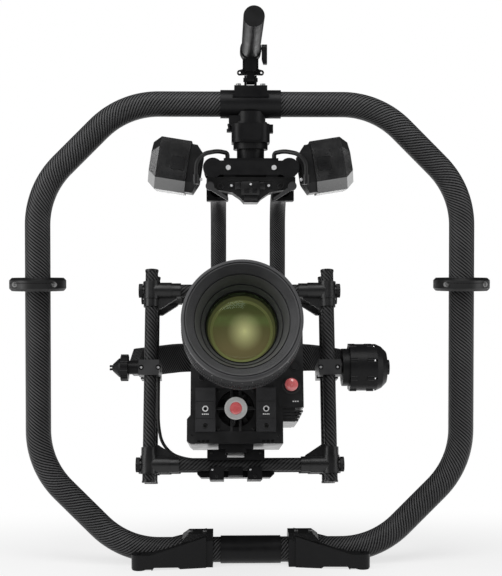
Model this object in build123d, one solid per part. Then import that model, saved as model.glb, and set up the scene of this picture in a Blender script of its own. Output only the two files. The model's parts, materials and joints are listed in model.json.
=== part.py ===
from build123d import *
import math
import os

# Camera gimbal in a carbon ring frame. Millimetres, +Z up, +X to the operator's left, lens towards -Y.
# The origin lies on the floor, on the pan axis, in the middle of the four foot pads.

# ---------------------------------------------------------------- ring frame
TUBE_R = 15.0               # 30 mm clamp tube
TUBE_WALL = 2.0
RING_HALF_WIDTH = 254.0     # pan axis to the centre line of the side tube
RING_BOTTOM_Z = 16.5
RING_TOP_Z = 551.0
RING_CHAMFER = 102.5        # each corner of the hoop is cut by a 45 degree run
RING_BEND_R = 101.0
SLEEVE_LENGTH = 72.0
SLEEVE_R = 16.8
HAND_STOP_Z = 336.0
HAND_STOP_R = 33.5
HAND_STOP_THICKNESS = 15.6
FOOT_CLAMP_INNER_X = 45.0
FOOT_CLAMP_OUTER_X = 82.0
FOOT_TOP_Z = 38.5
FOOT_HOLE_X = 132.0
FOOT_HOLE_Y = 24.5
FOOT_HOLE_R = 2.6           # clears an M5 screw
FOOT_PAD_R = 9.0
FOOT_PAD_TOP_Z = 18.0
RUBBER_THICKNESS = 1.5

# ---------------------------------------------------------------- top handle
HANDLE_PIVOT_Z = 580.0
HANDLE_R = 11.0
HANDLE_Z = 614.0
HANDLE_ROOT_Y = -8.0
HANDLE_TIP_Y = -181.0
EYELET_X = 12.9
EYELET_Z = 588.5
EYELET_HOLE_R = 1.3

# ---------------------------------------------------------------- pan axis
PAN_HOUSING_TOP_Z = 526.0
PAN_HOUSING_BOTTOM_Z = 504.0
PAN_HOUSING_WIDTH = 45.4
PAN_ROTOR_R = 20.5
PAN_NECK_R = 16.3
HUB_TOP_Z = 484.0
HUB_BOTTOM_Z = 462.0
PLATE_Z = 472.4
PLATE_LOBE_X = 44.5
PLATE_LOBE_R = 11.5
PLATE_BAR_HEIGHT = 16.5
PLATE_INNER_Y = 30.0
PLATE_THICKNESS = 6.0
PLATE_SCREW_X = 26.6

# ---------------------------------------------------------------- batteries
BATTERY_TILT = 9.0          # outer end up, in degrees
BATTERY_X = 73.5            # inner face, measured on the horizontal through its middle
BATTERY_Z = 473.8
BATTERY_LENGTH = 45.0
BATTERY_HEIGHT = 62.0
BATTERY_DEPTH = 72.0
BATTERY_BEVEL = 13.0
BATTERY_WALL = 2.0
LATCH_SIZE = 14.5
BATTERY_LEAD_R = 2.6
BATTERY_LEAD_ROUTE = [
    (64, -36.5, 464), (64, -36.5, 478), (55, -36.3, 488.5), (39, -27, 492.5), (27.5, -18, 491),
    (27.5, -18, HUB_TOP_Z),
]

# ---------------------------------------------------------------- pan tubes and roll axis
PAN_TUBE_X = 40.0
PAN_TUBE_R = 10.5
PAN_TUBE_WALL = 1.8
PAN_TUBE_Z = 450.0
PAN_TUBE_BACK_Y = 171.0
PAN_TUBE_BEND_R = 40.0
ROLL_Z = 236.0
ROLL_MOTOR_FRONT_Y = 156.0
ROLL_MOTOR_BACK_Y = 194.0
MOTOR_R = 28.0
YOKE_BACK_Y = 152.0
YOKE_FRONT_Y = 128.0
YOKE_HEIGHT = 36.0
YOKE_END_HEIGHT = 26.0

# ---------------------------------------------------------------- tilt axis and cage
REST_PITCH = 13.5           # the lens looks up by this angle at rest
TILT_MOTOR_X = 109.6
TILT_MOTOR_R = 28.0
SHAFT_R = 5.0
RUNNING_FIT = 0.05
UPRIGHT_XS = (-118.5, 92.5)
CAGE_ROWS = (-20.0, 20.0)   # front and rear frames, along Y
CAGE_TUBE_R = 7.5
CAGE_TUBE_WALL = 1.5
UPRIGHT_TOP = 113.0
UPRIGHT_BOTTOM = -134.0
TOP_BAR_Z = 90.0
BOTTOM_BAR_Z = -116.0

# ---------------------------------------------------------------- camera and lens
CAMERA_FRONT_Y = -48.0
CAMERA_REAR_Y = 66.0
CAMERA_LEFT_X = -74.0
CAMERA_RIGHT_X = 36.0
CAMERA_TOP = 60.0
CAMERA_BOTTOM = -94.0
MODULE_RIGHT_X = 60.0
LENS_X = -12.5
LENS_Z = 18.6
LENS_LENGTH = 172.0
LENS_RIM_R = 59.5
LENS_BODY_R = 64.0
GLASS_R = 37.0
GLASS_RECESS = 48.0
FAN_X = -18.0
FAN_Z = -54.0
BUTTON_X = 46.0
BUTTON_Z = -27.0


# ================================================================ helpers
def box(x_range, y_range, z_range):
    """Box between two values along each axis."""
    spans = (x_range, y_range, z_range)
    sizes = [high - low for low, high in spans]
    centre = [(high + low) / 2 for low, high in spans]
    return Pos(*centre) * Box(*sizes)


def rod(start, end, radius, bore=0.0):
    """Round bar between two points, or a tube when it has a bore."""
    line = Vector(*end) - Vector(*start)
    section = Circle(radius)
    if bore > 0:
        section = section - Circle(bore)
    return extrude(Plane(origin=start, z_dir=line) * section, line.length)


def prism_y(points, y_low, y_high):
    """Outline in X and Z, extruded along Y."""
    return extrude(Plane.XZ.offset(-y_high) * Polygon(*points), y_high - y_low, dir=(0, -1, 0))


def prism_x(points, x_low, x_high):
    """Outline in Y and Z, extruded along X."""
    return extrude(Plane.YZ.offset(x_low) * Polygon(*points), x_high - x_low, dir=(1, 0, 0))


def screw(head_at, direction, head_r, head_h, shank_r, shank_length):
    """Socket screw: its head stands out along the direction from head_at, its shank goes the other way."""
    seat = Plane(origin=head_at, z_dir=direction)
    head = extrude(seat * Circle(head_r), head_h)
    shank = extrude(seat * Circle(shank_r), -shank_length)
    socket = extrude(seat.offset(head_h * 0.4) * RegularPolygon(head_r * 0.5, 6), head_h)
    return head + shank - socket


def turned(profile, axis_plane):
    """Solid of revolution: the profile holds (radius, distance along the plane's normal) points."""
    section = Plane(origin=axis_plane.origin, x_dir=axis_plane.x_dir, z_dir=-axis_plane.y_dir)
    face = section * Polygon(*profile)
    return revolve(face, Axis(axis_plane.origin, axis_plane.z_dir), 360)


def both_sides(make):
    """The same piece made on the -X and the +X side, as a pair."""
    return make(-1), make(1)


def group(pieces):
    """Separate solids kept in one node."""
    return Compound(children=[solid for piece in pieces for solid in piece.solids()])


def write(name, shape):
    """Write one node to its STEP file."""
    solids = shape.solids()
    body = solids[0] if len(solids) == 1 else Compound(children=list(solids))
    body.label = name
    export_step(body, f"parts/{name}.step")


os.makedirs("parts", exist_ok=True)


# ================================================================ ring frame
def ring_half(side):
    """Half of the hoop: bottom run, side run and top run, with two bends at each corner."""
    knee = RING_HALF_WIDTH - RING_CHAMFER
    corners = [
        (0.25, RING_BOTTOM_Z),
        (knee, RING_BOTTOM_Z),
        (RING_HALF_WIDTH, RING_BOTTOM_Z + RING_CHAMFER),
        (RING_HALF_WIDTH, RING_TOP_Z - RING_CHAMFER),
        (knee, RING_TOP_Z),
        (0.25, RING_TOP_Z),
    ]
    path = FilletPolyline(*[(side * x, 0, z) for x, z in corners], radius=RING_BEND_R)
    section = Circle(TUBE_R) - Circle(TUBE_R - TUBE_WALL)
    return sweep(Plane(origin=path @ 0, z_dir=path % 0) * section, path=path)


def hand_stop(side):
    """Split disc collar on the side tube, in a front and a rear half."""
    half = HAND_STOP_THICKNESS / 2
    rim = 3.0
    profile = [
        (TUBE_R, -half + 1),
        (HAND_STOP_R - 6, -half),
        (HAND_STOP_R - rim, -half),
        (HAND_STOP_R, -half + rim),
        (HAND_STOP_R, half - rim),
        (HAND_STOP_R - rim, half),
        (TUBE_R, half),
    ]
    centre = Plane(origin=(side * RING_HALF_WIDTH, 0, HAND_STOP_Z), z_dir=(0, 0, 1))
    slot_x = (side * RING_HALF_WIDTH - HAND_STOP_R - 1, side * RING_HALF_WIDTH + HAND_STOP_R + 1)
    slot = box(slot_x, (-0.4, 0.4), (HAND_STOP_Z - half - 1, HAND_STOP_Z + half + 1))
    return turned(profile, centre) - slot


def hand_stop_screws(side):
    """Two screws that pull the collar halves together, one each side of the tube."""
    seat_y = 20.0
    found = []
    for across in (-1, 1):
        x = side * RING_HALF_WIDTH + across * 23.0
        found.append(screw((x, -seat_y, HAND_STOP_Z), (0, -1, 0), 3.2, 3.0, 1.6, 34.0))
    return group(found)


def screw_pockets(side):
    """Clearance for the collar screws' heads."""
    seat_y = 20.0
    wells = []
    for across in (-1, 1):
        x = side * RING_HALF_WIDTH + across * 23.0
        wells.append(rod((x, -seat_y, HAND_STOP_Z), (x, -HAND_STOP_R - 1, HAND_STOP_Z), 3.3))
    return wells


def foot(side):
    """A-shaped foot: a clamp round the bottom tube and two arms that run out to bushed pads."""
    inner, outer = FOOT_CLAMP_INNER_X, FOOT_CLAMP_OUTER_X
    clamp_y = 20.0
    underside = 0.4
    clamp = prism_x(
        [
            (-clamp_y, underside), (clamp_y, underside), (clamp_y, FOOT_TOP_Z - 7),
            (clamp_y - 7, FOOT_TOP_Z), (7 - clamp_y, FOOT_TOP_Z), (-clamp_y, FOOT_TOP_Z - 7),
        ],
        inner, outer,
    )
    corner_cut = [(outer - 9, FOOT_TOP_Z + 1), (outer + 1, FOOT_TOP_Z + 1), (outer + 1, FOOT_TOP_Z - 8)]
    clamp -= prism_y(corner_cut, -30, 30)
    body = clamp
    for front in (-1, 1):
        plan = Polygon(
            (inner + 8, front * 16.0),
            (inner + 8, front * 22.0),
            (inner + 22, front * 24.5),
            (FOOT_HOLE_X - 14, front * (FOOT_HOLE_Y + FOOT_PAD_R - 1.0)),
            (FOOT_HOLE_X, front * (FOOT_HOLE_Y + FOOT_PAD_R)),
            (FOOT_HOLE_X, front * (FOOT_HOLE_Y - FOOT_PAD_R)),
            (FOOT_HOLE_X - 22, front * 16.5),
            (FOOT_HOLE_X - 30, front * 20.0),
            (outer + 4, front * 16.0),
        )
        arm = extrude(plan, FOOT_TOP_Z + 1, dir=(0, 0, 1))
        slope = prism_y(
            [
                (inner, FOOT_TOP_Z + 0.8), (FOOT_HOLE_X - 14, FOOT_PAD_TOP_Z),
                (FOOT_HOLE_X + 20, FOOT_PAD_TOP_Z),
                (FOOT_HOLE_X + 20, FOOT_TOP_Z + 9), (inner, FOOT_TOP_Z + 9),
            ],
            -60, 60,
        )
        arch = prism_y(
            [(outer, -1), (outer + 4, 2.4), (FOOT_HOLE_X - 18, 3.4), (FOOT_HOLE_X - 15, -1)],
            -60, 60,
        )
        sole = box((inner, FOOT_HOLE_X + 20), (-60, 60), (-1, underside))
        pad = rod((FOOT_HOLE_X, front * FOOT_HOLE_Y, RUBBER_THICKNESS),
                  (FOOT_HOLE_X, front * FOOT_HOLE_Y, FOOT_PAD_TOP_Z), FOOT_PAD_R)
        under_pad = box((FOOT_HOLE_X - 15, FOOT_HOLE_X + 20), (-60, 60), (-1, RUBBER_THICKNESS))
        hole_y = front * FOOT_HOLE_Y
        bush = rod((FOOT_HOLE_X, hole_y, 0), (FOOT_HOLE_X, hole_y, RUBBER_THICKNESS), FOOT_HOLE_R + 0.8)
        body = body + (arm - slope - arch - sole - under_pad) + pad + bush
        body -= rod((FOOT_HOLE_X, hole_y, -1), (FOOT_HOLE_X, hole_y, 30), FOOT_HOLE_R)
    body -= rod((0, 0, RING_BOTTOM_Z), (150, 0, RING_BOTTOM_Z), TUBE_R)
    clear_of_bend = box((outer + 0.5, FOOT_HOLE_X + 20), (-TUBE_R - 0.3, TUBE_R + 0.3), (-1, 60))
    body -= clear_of_bend
    return body if side > 0 else mirror(body, about=Plane.YZ)


def foot_pads():
    """Rubber rings under the four feet."""
    rings = []
    for x in (-FOOT_HOLE_X, FOOT_HOLE_X):
        for y in (-FOOT_HOLE_Y, FOOT_HOLE_Y):
            rings.append(rod((x, y, 0), (x, y, RUBBER_THICKNESS), FOOT_PAD_R - 0.8, FOOT_HOLE_R + 0.9))
    return group(rings)


def foot_screws():
    """Two clamp screws in the top of each foot."""
    found = []
    for x in (-72.0, -55.0, 55.0, 72.0):
        found.append(screw((x, 0, FOOT_TOP_Z), (0, 0, 1), 2.6, 1.2, 1.3, 5.0))
    return group(found)


SLEEVE_HALF = SLEEVE_LENGTH / 2
feet_fasteners = foot_screws()
stop_fasteners = group(both_sides(hand_stop_screws))
write("ring_tube_left", ring_half(-1))
write("ring_tube_right", ring_half(1))
write("hand_stops", group(hand_stop(side) - screw_pockets(side) - stop_fasteners for side in (-1, 1)))
write("feet", group(foot(side) - feet_fasteners for side in (-1, 1)))
write("foot_pads", foot_pads())
write("tube_sleeves", group(rod((-SLEEVE_HALF, 0, z), (SLEEVE_HALF, 0, z), radius, TUBE_R)
                            for z, radius in ((RING_BOTTOM_Z, SLEEVE_R - 0.4), (RING_TOP_Z, SLEEVE_R))))


# ================================================================ handle base and pan mount
def base_screws():
    """Two thumb screws that hold the handle base on the top sleeve."""
    found = []
    for x in (-14.5, 14.5):
        for y in (-8, 8):
            found.append(screw((x, y, 571), (0, 0, 1), 3.0, 3.2, 1.5, 4.2))
    return group(found)


def handle_base():
    """Saddle block on the top sleeve with two ears for the handle's pivot."""
    block = box((-19.5, 19.5), (-17, 17), (560.5, 571))
    flange = box((-21.5, 21.5), (-17, 17), (557.5, 560.5))
    body = block + flange
    for ear in (-1, 1):
        low, high = sorted((ear * 4.7, ear * 7.4))
        cheek = box((low, high), (-5.2, 5.2), (571, HANDLE_PIVOT_Z))
        eye = rod((low, 0, HANDLE_PIVOT_Z), (high, 0, HANDLE_PIVOT_Z), 5.2)
        body = body + cheek + eye
    body -= rod((-10, 0, HANDLE_PIVOT_Z), (10, 0, HANDLE_PIVOT_Z), 2.5 + RUNNING_FIT)
    body -= rod((-40, 0, RING_TOP_Z), (40, 0, RING_TOP_Z), SLEEVE_R)
    return body


def pan_mount():
    """Saddle under the top sleeve that carries the pan motor."""
    neck = rod((0, 0, PAN_HOUSING_TOP_Z), (0, 0, 541), 17.8)
    shoulder = box((-26, -8), (-13, 13), (PAN_HOUSING_TOP_Z, 536))
    collar = rod((0, 0, PAN_HOUSING_TOP_Z), (0, 0, PAN_HOUSING_TOP_Z + 3), 20.0)
    body = neck + shoulder + collar
    return body - rod((-40, 0, RING_TOP_Z), (40, 0, RING_TOP_Z), SLEEVE_R)


def rounded_square(width, corner):
    """Square outline with round corners."""
    return RectangleRounded(width, width, corner)


def pan_motor_housing():
    """Rounded square can, open at the bottom, with lugs on both sides and a bearing seat in its roof."""
    height = PAN_HOUSING_TOP_Z - PAN_HOUSING_BOTTOM_Z
    can = Pos(0, 0, PAN_HOUSING_BOTTOM_Z) * extrude(rounded_square(PAN_HOUSING_WIDTH, 13), height)
    lug = box((PAN_HOUSING_WIDTH / 2 - 1, PAN_HOUSING_WIDTH / 2 + 4), (-9, 1), (516, PAN_HOUSING_TOP_Z))
    hinge_block = box((-27.5, 1 - PAN_HOUSING_WIDTH / 2), (-14, -6), (516.5, PAN_HOUSING_TOP_Z))
    body = can + lug + hinge_block
    body -= rod((0, 0, PAN_HOUSING_BOTTOM_Z - 1), (0, 0, PAN_HOUSING_TOP_Z - 4), 19.5)
    body -= rod((-25, -10, 500), (-25, -10, 524), 1.5)
    body -= box((-29, -22.9), (-14.2, -5.8), (518.4, 524.0))
    return body


def release_lever():
    """Quick-release lever on the pan mount, swinging on an upright pin."""
    pin = rod((-25, -10, 517), (-25, -10, 523.9), 1.45)
    eye = rod((-25, -10, 518.6), (-25, -10, 523.8), 2.1)
    arm = box((-26.9, -24.2), (-10, 14), (519.0, 523.4))
    tip = rod((-26.2, 14, 519.0), (-26.2, 14, 523.4), 2.3)
    return pin + eye + arm + tip


base_fasteners = base_screws()
write("handle_base", handle_base() - base_fasteners)
write("frame_screws", group([feet_fasteners, stop_fasteners, base_fasteners]))
write("pan_mount", pan_mount())
cover = Plane.XZ.offset(PAN_HOUSING_WIDTH / 2) * Pos(0, 515) * extrude(RectangleRounded(25, 17.5, 3), 1.0)
write("pan_motor_housing", group([pan_motor_housing(), cover]))
write("release_lever", release_lever())
write("pan_motor_stator", rod((0, 0, 507), (0, 0, 518), 17.5, 9.0))


# ================================================================ top handle
def handle_neck():
    """Tongue in the base's ears, a spine up to the grip and two eyelets for straps."""
    tongue = rod((-4.5, 0, HANDLE_PIVOT_Z), (4.5, 0, HANDLE_PIVOT_Z), 5.6)
    stem = box((-4.5, 4.5), (-5.6, 5.6), (HANDLE_PIVOT_Z, 590))
    spine = box((-6.5, 6.5), (-12, 5), (588.5, 606))
    cheeks = box((-9.4, 9.4), (-5, 6), (591, 604))
    wing = Polygon(
        (-EYELET_X, EYELET_Z - 3.2), (-8, EYELET_Z - 2.9), (8, EYELET_Z - 2.9), (EYELET_X, EYELET_Z - 3.2),
        (EYELET_X, EYELET_Z + 3.2), (6, EYELET_Z + 5.5), (-6, EYELET_Z + 5.5), (-EYELET_X, EYELET_Z + 3.2),
    )
    wings = extrude(Plane.XZ.offset(-1.5) * wing, 3.0)
    body = tongue + stem + spine + cheeks + wings
    for x in (-EYELET_X, EYELET_X):
        body += rod((x, -1.5, EYELET_Z), (x, 1.5, EYELET_Z), 3.2)
    for x in (-EYELET_X, EYELET_X):
        body -= rod((x, -3, EYELET_Z), (x, 3, EYELET_Z), EYELET_HOLE_R)
    body -= rod((-10, 0, HANDLE_PIVOT_Z), (10, 0, HANDLE_PIVOT_Z), 2.5)
    body -= rod((0, -40, HANDLE_Z), (0, 40, HANDLE_Z), HANDLE_R + 1.6)
    return body


def handle_clamp_ring():
    """Split ring round the root of the grip, with a boss for the thumb lever."""
    ring = rod((0, -14, HANDLE_Z), (0, 8, HANDLE_Z), HANDLE_R + 1.6, HANDLE_R)
    boss = rod((6, -3, 617), (12.9, -3, 617), 4.2)
    boss -= rod((0, -40, HANDLE_Z), (0, 40, HANDLE_Z), HANDLE_R + 0.2)
    body = ring + boss
    return body - rod((5, -3, 617), (20, -3, 617), 1.6)


def handle_lever():
    """Thumb lever on a cross pin, its paddle hanging beside the grip."""
    hub = rod((13.3, -3, 617), (19.6, -3, 617), 4.6)
    paddle = prism_y([(13.3, 617), (19.6, 617), (19.6, 598), (15.2, 598), (13.3, 604)], -6.5, 0.5)
    pin = rod((11.6, -3, 617), (14, -3, 617), 1.55)
    return hub + paddle + pin


def handle_tube():
    """Grip tube, hollow and open at its root."""
    return rod((0, HANDLE_TIP_Y + 3, HANDLE_Z), (0, 8, HANDLE_Z), HANDLE_R, HANDLE_R - 2.0)


def handle_end_cap():
    """Flat cap with a spigot in the free end of the grip."""
    disc = rod((0, HANDLE_TIP_Y, HANDLE_Z), (0, HANDLE_TIP_Y + 3, HANDLE_Z), HANDLE_R)
    spigot = rod((0, HANDLE_TIP_Y + 3, HANDLE_Z), (0, HANDLE_TIP_Y + 13, HANDLE_Z), HANDLE_R - 2.0)
    return disc + spigot


write("handle_neck", handle_neck())
write("handle_clamp_ring", handle_clamp_ring())
write("handle_lever", handle_lever())
write("handle_tube", handle_tube())
write("handle_end_cap", handle_end_cap())
write("handle_pivot_pin", rod((-8.6, 0, HANDLE_PIVOT_Z), (8.6, 0, HANDLE_PIVOT_Z), 2.5))


# ================================================================ pan arm: rotor, hub and battery plates
def pan_rotor():
    """Flange under the pan motor with a neck down to the hub and a shaft up into the stator."""
    flange = rod((0, 0, 496.5), (0, 0, PAN_HOUSING_BOTTOM_Z - 0.3), PAN_ROTOR_R)
    neck = rod((0, 0, HUB_TOP_Z), (0, 0, 496.5), PAN_NECK_R)
    bell = rod((0, 0, PAN_HOUSING_BOTTOM_Z - 0.3), (0, 0, 506), 8.0)
    shaft = rod((0, 0, 504), (0, 0, 521), SHAFT_R)
    return flange + neck + bell + shaft


def plate_screws():
    """Bright screws that hold the dog-bone plates to the hub, front and rear."""
    found = []
    for x in (-PLATE_SCREW_X, PLATE_SCREW_X):
        for front in (-1, 1):
            face = front * (PLATE_INNER_Y + PLATE_THICKNESS)
            found.append(screw((x, face, PLATE_Z), (0, front, 0), 2.9, 1.0, 1.6, 12.0))
    return group(found)


def dog_bone(front):
    """Flat plate with a round lobe at each end."""
    y_low, y_high = sorted((front * PLATE_INNER_Y, front * (PLATE_INNER_Y + PLATE_THICKNESS)))
    half = PLATE_BAR_HEIGHT / 2
    plate = box((-PLATE_LOBE_X, PLATE_LOBE_X), (y_low, y_high), (PLATE_Z - half, PLATE_Z + half))
    for x in (-PLATE_LOBE_X, PLATE_LOBE_X):
        plate += rod((x, y_low, PLATE_Z), (x, y_high, PLATE_Z), PLATE_LOBE_R)
    return plate


def hub_block():
    """Block between the two dog-bone plates, with sockets for the pan tubes behind it."""
    block = box((-32, 32), (-PLATE_INNER_Y, PLATE_INNER_Y), (HUB_BOTTOM_Z, HUB_TOP_Z))
    for x in (-PLATE_LOBE_X, PLATE_LOBE_X):
        block += rod((x, -PLATE_INNER_Y, PLATE_Z), (x, PLATE_INNER_Y, PLATE_Z), 7.0)
    waist = box((-PLATE_LOBE_X, PLATE_LOBE_X), (-PLATE_INNER_Y, PLATE_INNER_Y), (PLATE_Z - 6, PLATE_Z + 6))
    return block + waist - box((-18, 18), (-31, -22), (461, 468))


def control_unit():
    """Electronics case under the hub, stepping down to a small flat facet."""
    outline = [
        (-52, HUB_BOTTOM_Z), (-52, 455), (-43, 447.5), (-22, 444), (-12.5, 437.5), (-8, 432.5),
        (8, 432.5), (12.5, 437.5), (22, 444), (43, 447.5), (52, 455), (52, HUB_BOTTOM_Z),
    ]
    case = prism_y(outline, -29, 17)
    hollow = prism_y([(-40, 460), (-40, 452), (-10, 440), (10, 440), (40, 452), (40, 460)], -26, 14)
    groove = box((-27, 27), (-30, -28), (456.5, 457.5))
    return case - hollow - groove


def tube_clamps():
    """Blocks behind the control unit that hold the tops of the pan tubes."""
    found = []
    for side in (-1, 1):
        x = side * PAN_TUBE_X
        block = box((x - 13, x + 13), (17.4, 44), (437, HUB_BOTTOM_Z))
        found.append(block - rod((x, 0, PAN_TUBE_Z), (x, 60, PAN_TUBE_Z), PAN_TUBE_R) - dog_bone(1))
    return group(found)


def cover_clips():
    """Two sprung clips in front of the control unit, each round a cross pin."""
    found = []
    for side in (-1, 1):
        eye = rod((side * 48, -37, 451), (side * 48, -29.3, 451), 5.0)
        arm = prism_y(
            [
                (side * 51, 447.2), (side * 47, 446), (side * 26.5, 433.5), (side * 26.5, 437.5),
                (side * 44, 450),
            ],
            -37, -29.3,
        )
        found.append(eye + arm)
    return group(found)


# ================================================================ batteries
def mirrored(shape, side):
    """Keep the +X piece, or mirror it to the -X side."""
    return shape if side > 0 else mirror(shape, about=Plane.YZ)


def battery_outline(inset):
    """Six-sided-looking section in Y and Z, with broad bevels above and below the front face."""
    half_y = BATTERY_DEPTH / 2 - inset
    half_z = BATTERY_HEIGHT / 2 - inset
    bevel = BATTERY_BEVEL
    return [
        (-half_y, -half_z + bevel), (-half_y + bevel, -half_z),
        (half_y - bevel, -half_z), (half_y, -half_z + bevel),
        (half_y, half_z - bevel), (half_y - bevel, half_z),
        (-half_y + bevel, half_z), (-half_y, half_z - bevel),
    ]


def battery_case():
    """Battery shell with a bevelled outer end, a latch well in front and a dovetail groove inside."""
    straight = BATTERY_LENGTH - 9
    shell = prism_x(battery_outline(0), 0.35, straight)
    end_near = Plane.YZ.offset(straight) * Polygon(*battery_outline(0))
    end_far = Plane.YZ.offset(BATTERY_LENGTH) * Polygon(*battery_outline(7.5))
    shell = shell + loft([end_near, end_far])
    cavity = prism_x(battery_outline(BATTERY_WALL + 1), 8, straight - 1)
    groove = prism_y([(0, -9.4), (5.4, -12.4), (5.4, 12.4), (0, 9.4)], -30.4, BATTERY_DEPTH / 2 + 1)
    half = LATCH_SIZE / 2
    well = box((12 - half - 0.3, 12 + half + 0.3), (-BATTERY_DEPTH / 2 - 1, -BATTERY_DEPTH / 2 + 4),
               (2 - half - 0.3, 2 + half + 0.3))
    well_floor = box((12 - half - 2, 12 + half + 2), (-BATTERY_DEPTH / 2 + 2, -BATTERY_DEPTH / 2 + 6),
                     (2 - half - 2, 2 + half + 2))
    return (shell - cavity - groove) + well_floor - well


def battery_latch():
    """Square latch button in the front face, proud by a little more than a millimetre."""
    half = LATCH_SIZE / 2
    face = -BATTERY_DEPTH / 2
    cap = box((12 - half, 12 + half), (face - 1.6, face + 2.2), (2 - half, 2 + half))
    span = (12 - half + 2, 12 + half - 2)
    ridges = [box(span, (face - 2.1, face - 1.5), (z, z + 1)) for z in (-2.5, 0.5, 3.5)]
    return cap + ridges


def battery_shoe():
    """Saddle between the bracket lobe and the battery, with a dovetail rail that the battery slides on."""
    rail = prism_y([(0, -9), (5, -12), (5, 12), (0, 9)], -30, 30)
    saddle = prism_x(
        [
            (-33, -18), (-21, -29), (21, -29), (33, -18), (33, 18), (21, 28), (-21, 28), (-33, 18),
        ],
        -14.5, 0,
    )
    trimmed = prism_y([(-15, 31), (-15, 18), (-4, 31)], -40, 40)
    notch = prism_y([(-15, -31), (-15, -13), (-8, -31)], -40, 40)
    return saddle + rail - trimmed - notch


def shoe_cutter():
    """Space of the hub's lobe ends and the plates, which the saddle fits against."""
    y_end = PLATE_INNER_Y + PLATE_THICKNESS
    return rod((PLATE_LOBE_X, -y_end - 1, PLATE_Z), (PLATE_LOBE_X, y_end + 1, PLATE_Z), PLATE_LOBE_R)


def lead(name, route, radius):
    """Round lead on straight runs joined by arcs as large as the runs allow, printed for checking."""
    points = [Vector(*point) for point in route]
    radii = []
    for before, corner, after in zip(points, points[1:], points[2:]):
        first, second = corner - before, after - corner
        half_turn = math.radians(first.get_angle(second) / 2)
        radii.append(0.45 * min(first.length, second.length) / math.tan(half_turn))
    path = FilletPolyline(*route, radius=radii)
    tube = sweep(Plane(origin=path @ 0, z_dir=path % 0) * Circle(radius), path=path)
    expected = math.pi * radius ** 2 * path.length
    print(name, "radii", [round(r, 1) for r in radii], "length", round(path.length, 1),
          "volume over section times length", round(tube.volume / expected, 4))
    return tube


hub_fasteners = plate_screws()
write("pan_rotor", pan_rotor())
write("bracket_hub", hub_block() - hub_fasteners)
write("battery_plates", group(dog_bone(front) - hub_fasteners for front in (-1, 1)))
write("plate_screws", hub_fasteners)
write("control_unit", control_unit())
write("tube_clamps", tube_clamps())
write("cover_clips", cover_clips())
power_lead = lead("battery_lead", BATTERY_LEAD_ROUTE, BATTERY_LEAD_R)
place = Pos(BATTERY_X, 0, BATTERY_Z) * Rot(0, -BATTERY_TILT, 0)
lead_start = Vector(*BATTERY_LEAD_ROUTE[0])
socket = rod(lead_start - Vector(0, 0, 11), lead_start, 4.2)
saddle = place * battery_shoe() - shoe_cutter() + socket
for side_name, side_sign in (("left", -1), ("right", 1)):
    write(f"battery_{side_name}", mirrored(place * battery_case(), side_sign))
    write(f"battery_latch_{side_name}", mirrored(place * battery_latch(), side_sign))
write("battery_shoes", group(mirrored(saddle, side) for side in (-1, 1)))
write("battery_leads", group(mirrored(power_lead, side) for side in (-1, 1)))


# ================================================================ pan tubes and roll axis
def pan_tube(side):
    """Bent tube from the hub back and down to the roll carriage."""
    x = side * PAN_TUBE_X
    path = FilletPolyline(
        (x, 19, PAN_TUBE_Z), (x, PAN_TUBE_BACK_Y, PAN_TUBE_Z), (x, PAN_TUBE_BACK_Y, ROLL_Z - 8),
        radius=PAN_TUBE_BEND_R,
    )
    section = Circle(PAN_TUBE_R) - Circle(PAN_TUBE_R - PAN_TUBE_WALL)
    return sweep(Plane(origin=path @ 0, z_dir=path % 0) * section, path=path)


def roll_carriage():
    """Cross block that clamps the lower ends of the pan tubes and holds the roll motor."""
    block = box((-54, 54), (158, 184), (ROLL_Z - 13, ROLL_Z + 21))
    for side in (-1, 1):
        x = side * PAN_TUBE_X
        block -= rod((x, PAN_TUBE_BACK_Y, ROLL_Z - 8), (x, PAN_TUBE_BACK_Y, ROLL_Z + 40), PAN_TUBE_R)
    return block - rod((0, 150, ROLL_Z), (0, 200, ROLL_Z), MOTOR_R)


def roll_motor_housing():
    """Round can, open in front, with a bearing seat in its back wall."""
    can = rod((0, ROLL_MOTOR_FRONT_Y, ROLL_Z), (0, ROLL_MOTOR_BACK_Y, ROLL_Z), MOTOR_R)
    cap = rod((0, ROLL_MOTOR_BACK_Y, ROLL_Z), (0, ROLL_MOTOR_BACK_Y + 3, ROLL_Z), MOTOR_R - 5)
    inside = rod((0, ROLL_MOTOR_FRONT_Y - 1, ROLL_Z), (0, ROLL_MOTOR_BACK_Y - 5, ROLL_Z), MOTOR_R - 3)
    return can + cap - inside


def roll_rotor():
    """Flange in front of the roll motor and a shaft into it."""
    flange = rod((0, YOKE_BACK_Y, ROLL_Z), (0, ROLL_MOTOR_FRONT_Y - 0.3, ROLL_Z), 22.0)
    return flange + rod((0, 155, ROLL_Z), (0, ROLL_MOTOR_BACK_Y - 7, ROLL_Z), SHAFT_R)


def yoke_bar():
    """Curved flat carbon bar behind the cage, tapering towards both ends."""
    outer = Polygon(
        (-146, 13), (-146, 74), (-97, YOKE_BACK_Y), (92, YOKE_BACK_Y), (143, 76), (143, 31), (118, 31),
        (118, 68), (80, YOKE_FRONT_Y), (-84, YOKE_FRONT_Y), (-134.2, 64), (-134.2, 13),
    )
    bent = [v for v in outer.vertices() if v.Y > 60]
    plan = fillet(bent, 24)
    bar = Pos(0, 0, ROLL_Z - YOKE_HEIGHT / 2) * extrude(plan, YOKE_HEIGHT, dir=(0, 0, 1))
    full, end = YOKE_HEIGHT / 2, YOKE_END_HEIGHT / 2
    elevation = [
        (-160, -full + 1), (-60, -full), (60, -full), (126, -end), (150, -end),
        (150, end), (126, end), (60, full), (-60, full), (-160, full - 1),
    ]
    bar &= prism_y([(x, ROLL_Z + z) for x, z in elevation], 0, 160)
    for up in (-1, 1):
        taper = [(0, 7.5), (18, 7.5), (74, full), (74, full + 9), (0, full + 9)]
        bar -= prism_x([(y, ROLL_Z + up * z) for y, z in taper], -160, -125)
    return bar


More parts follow.
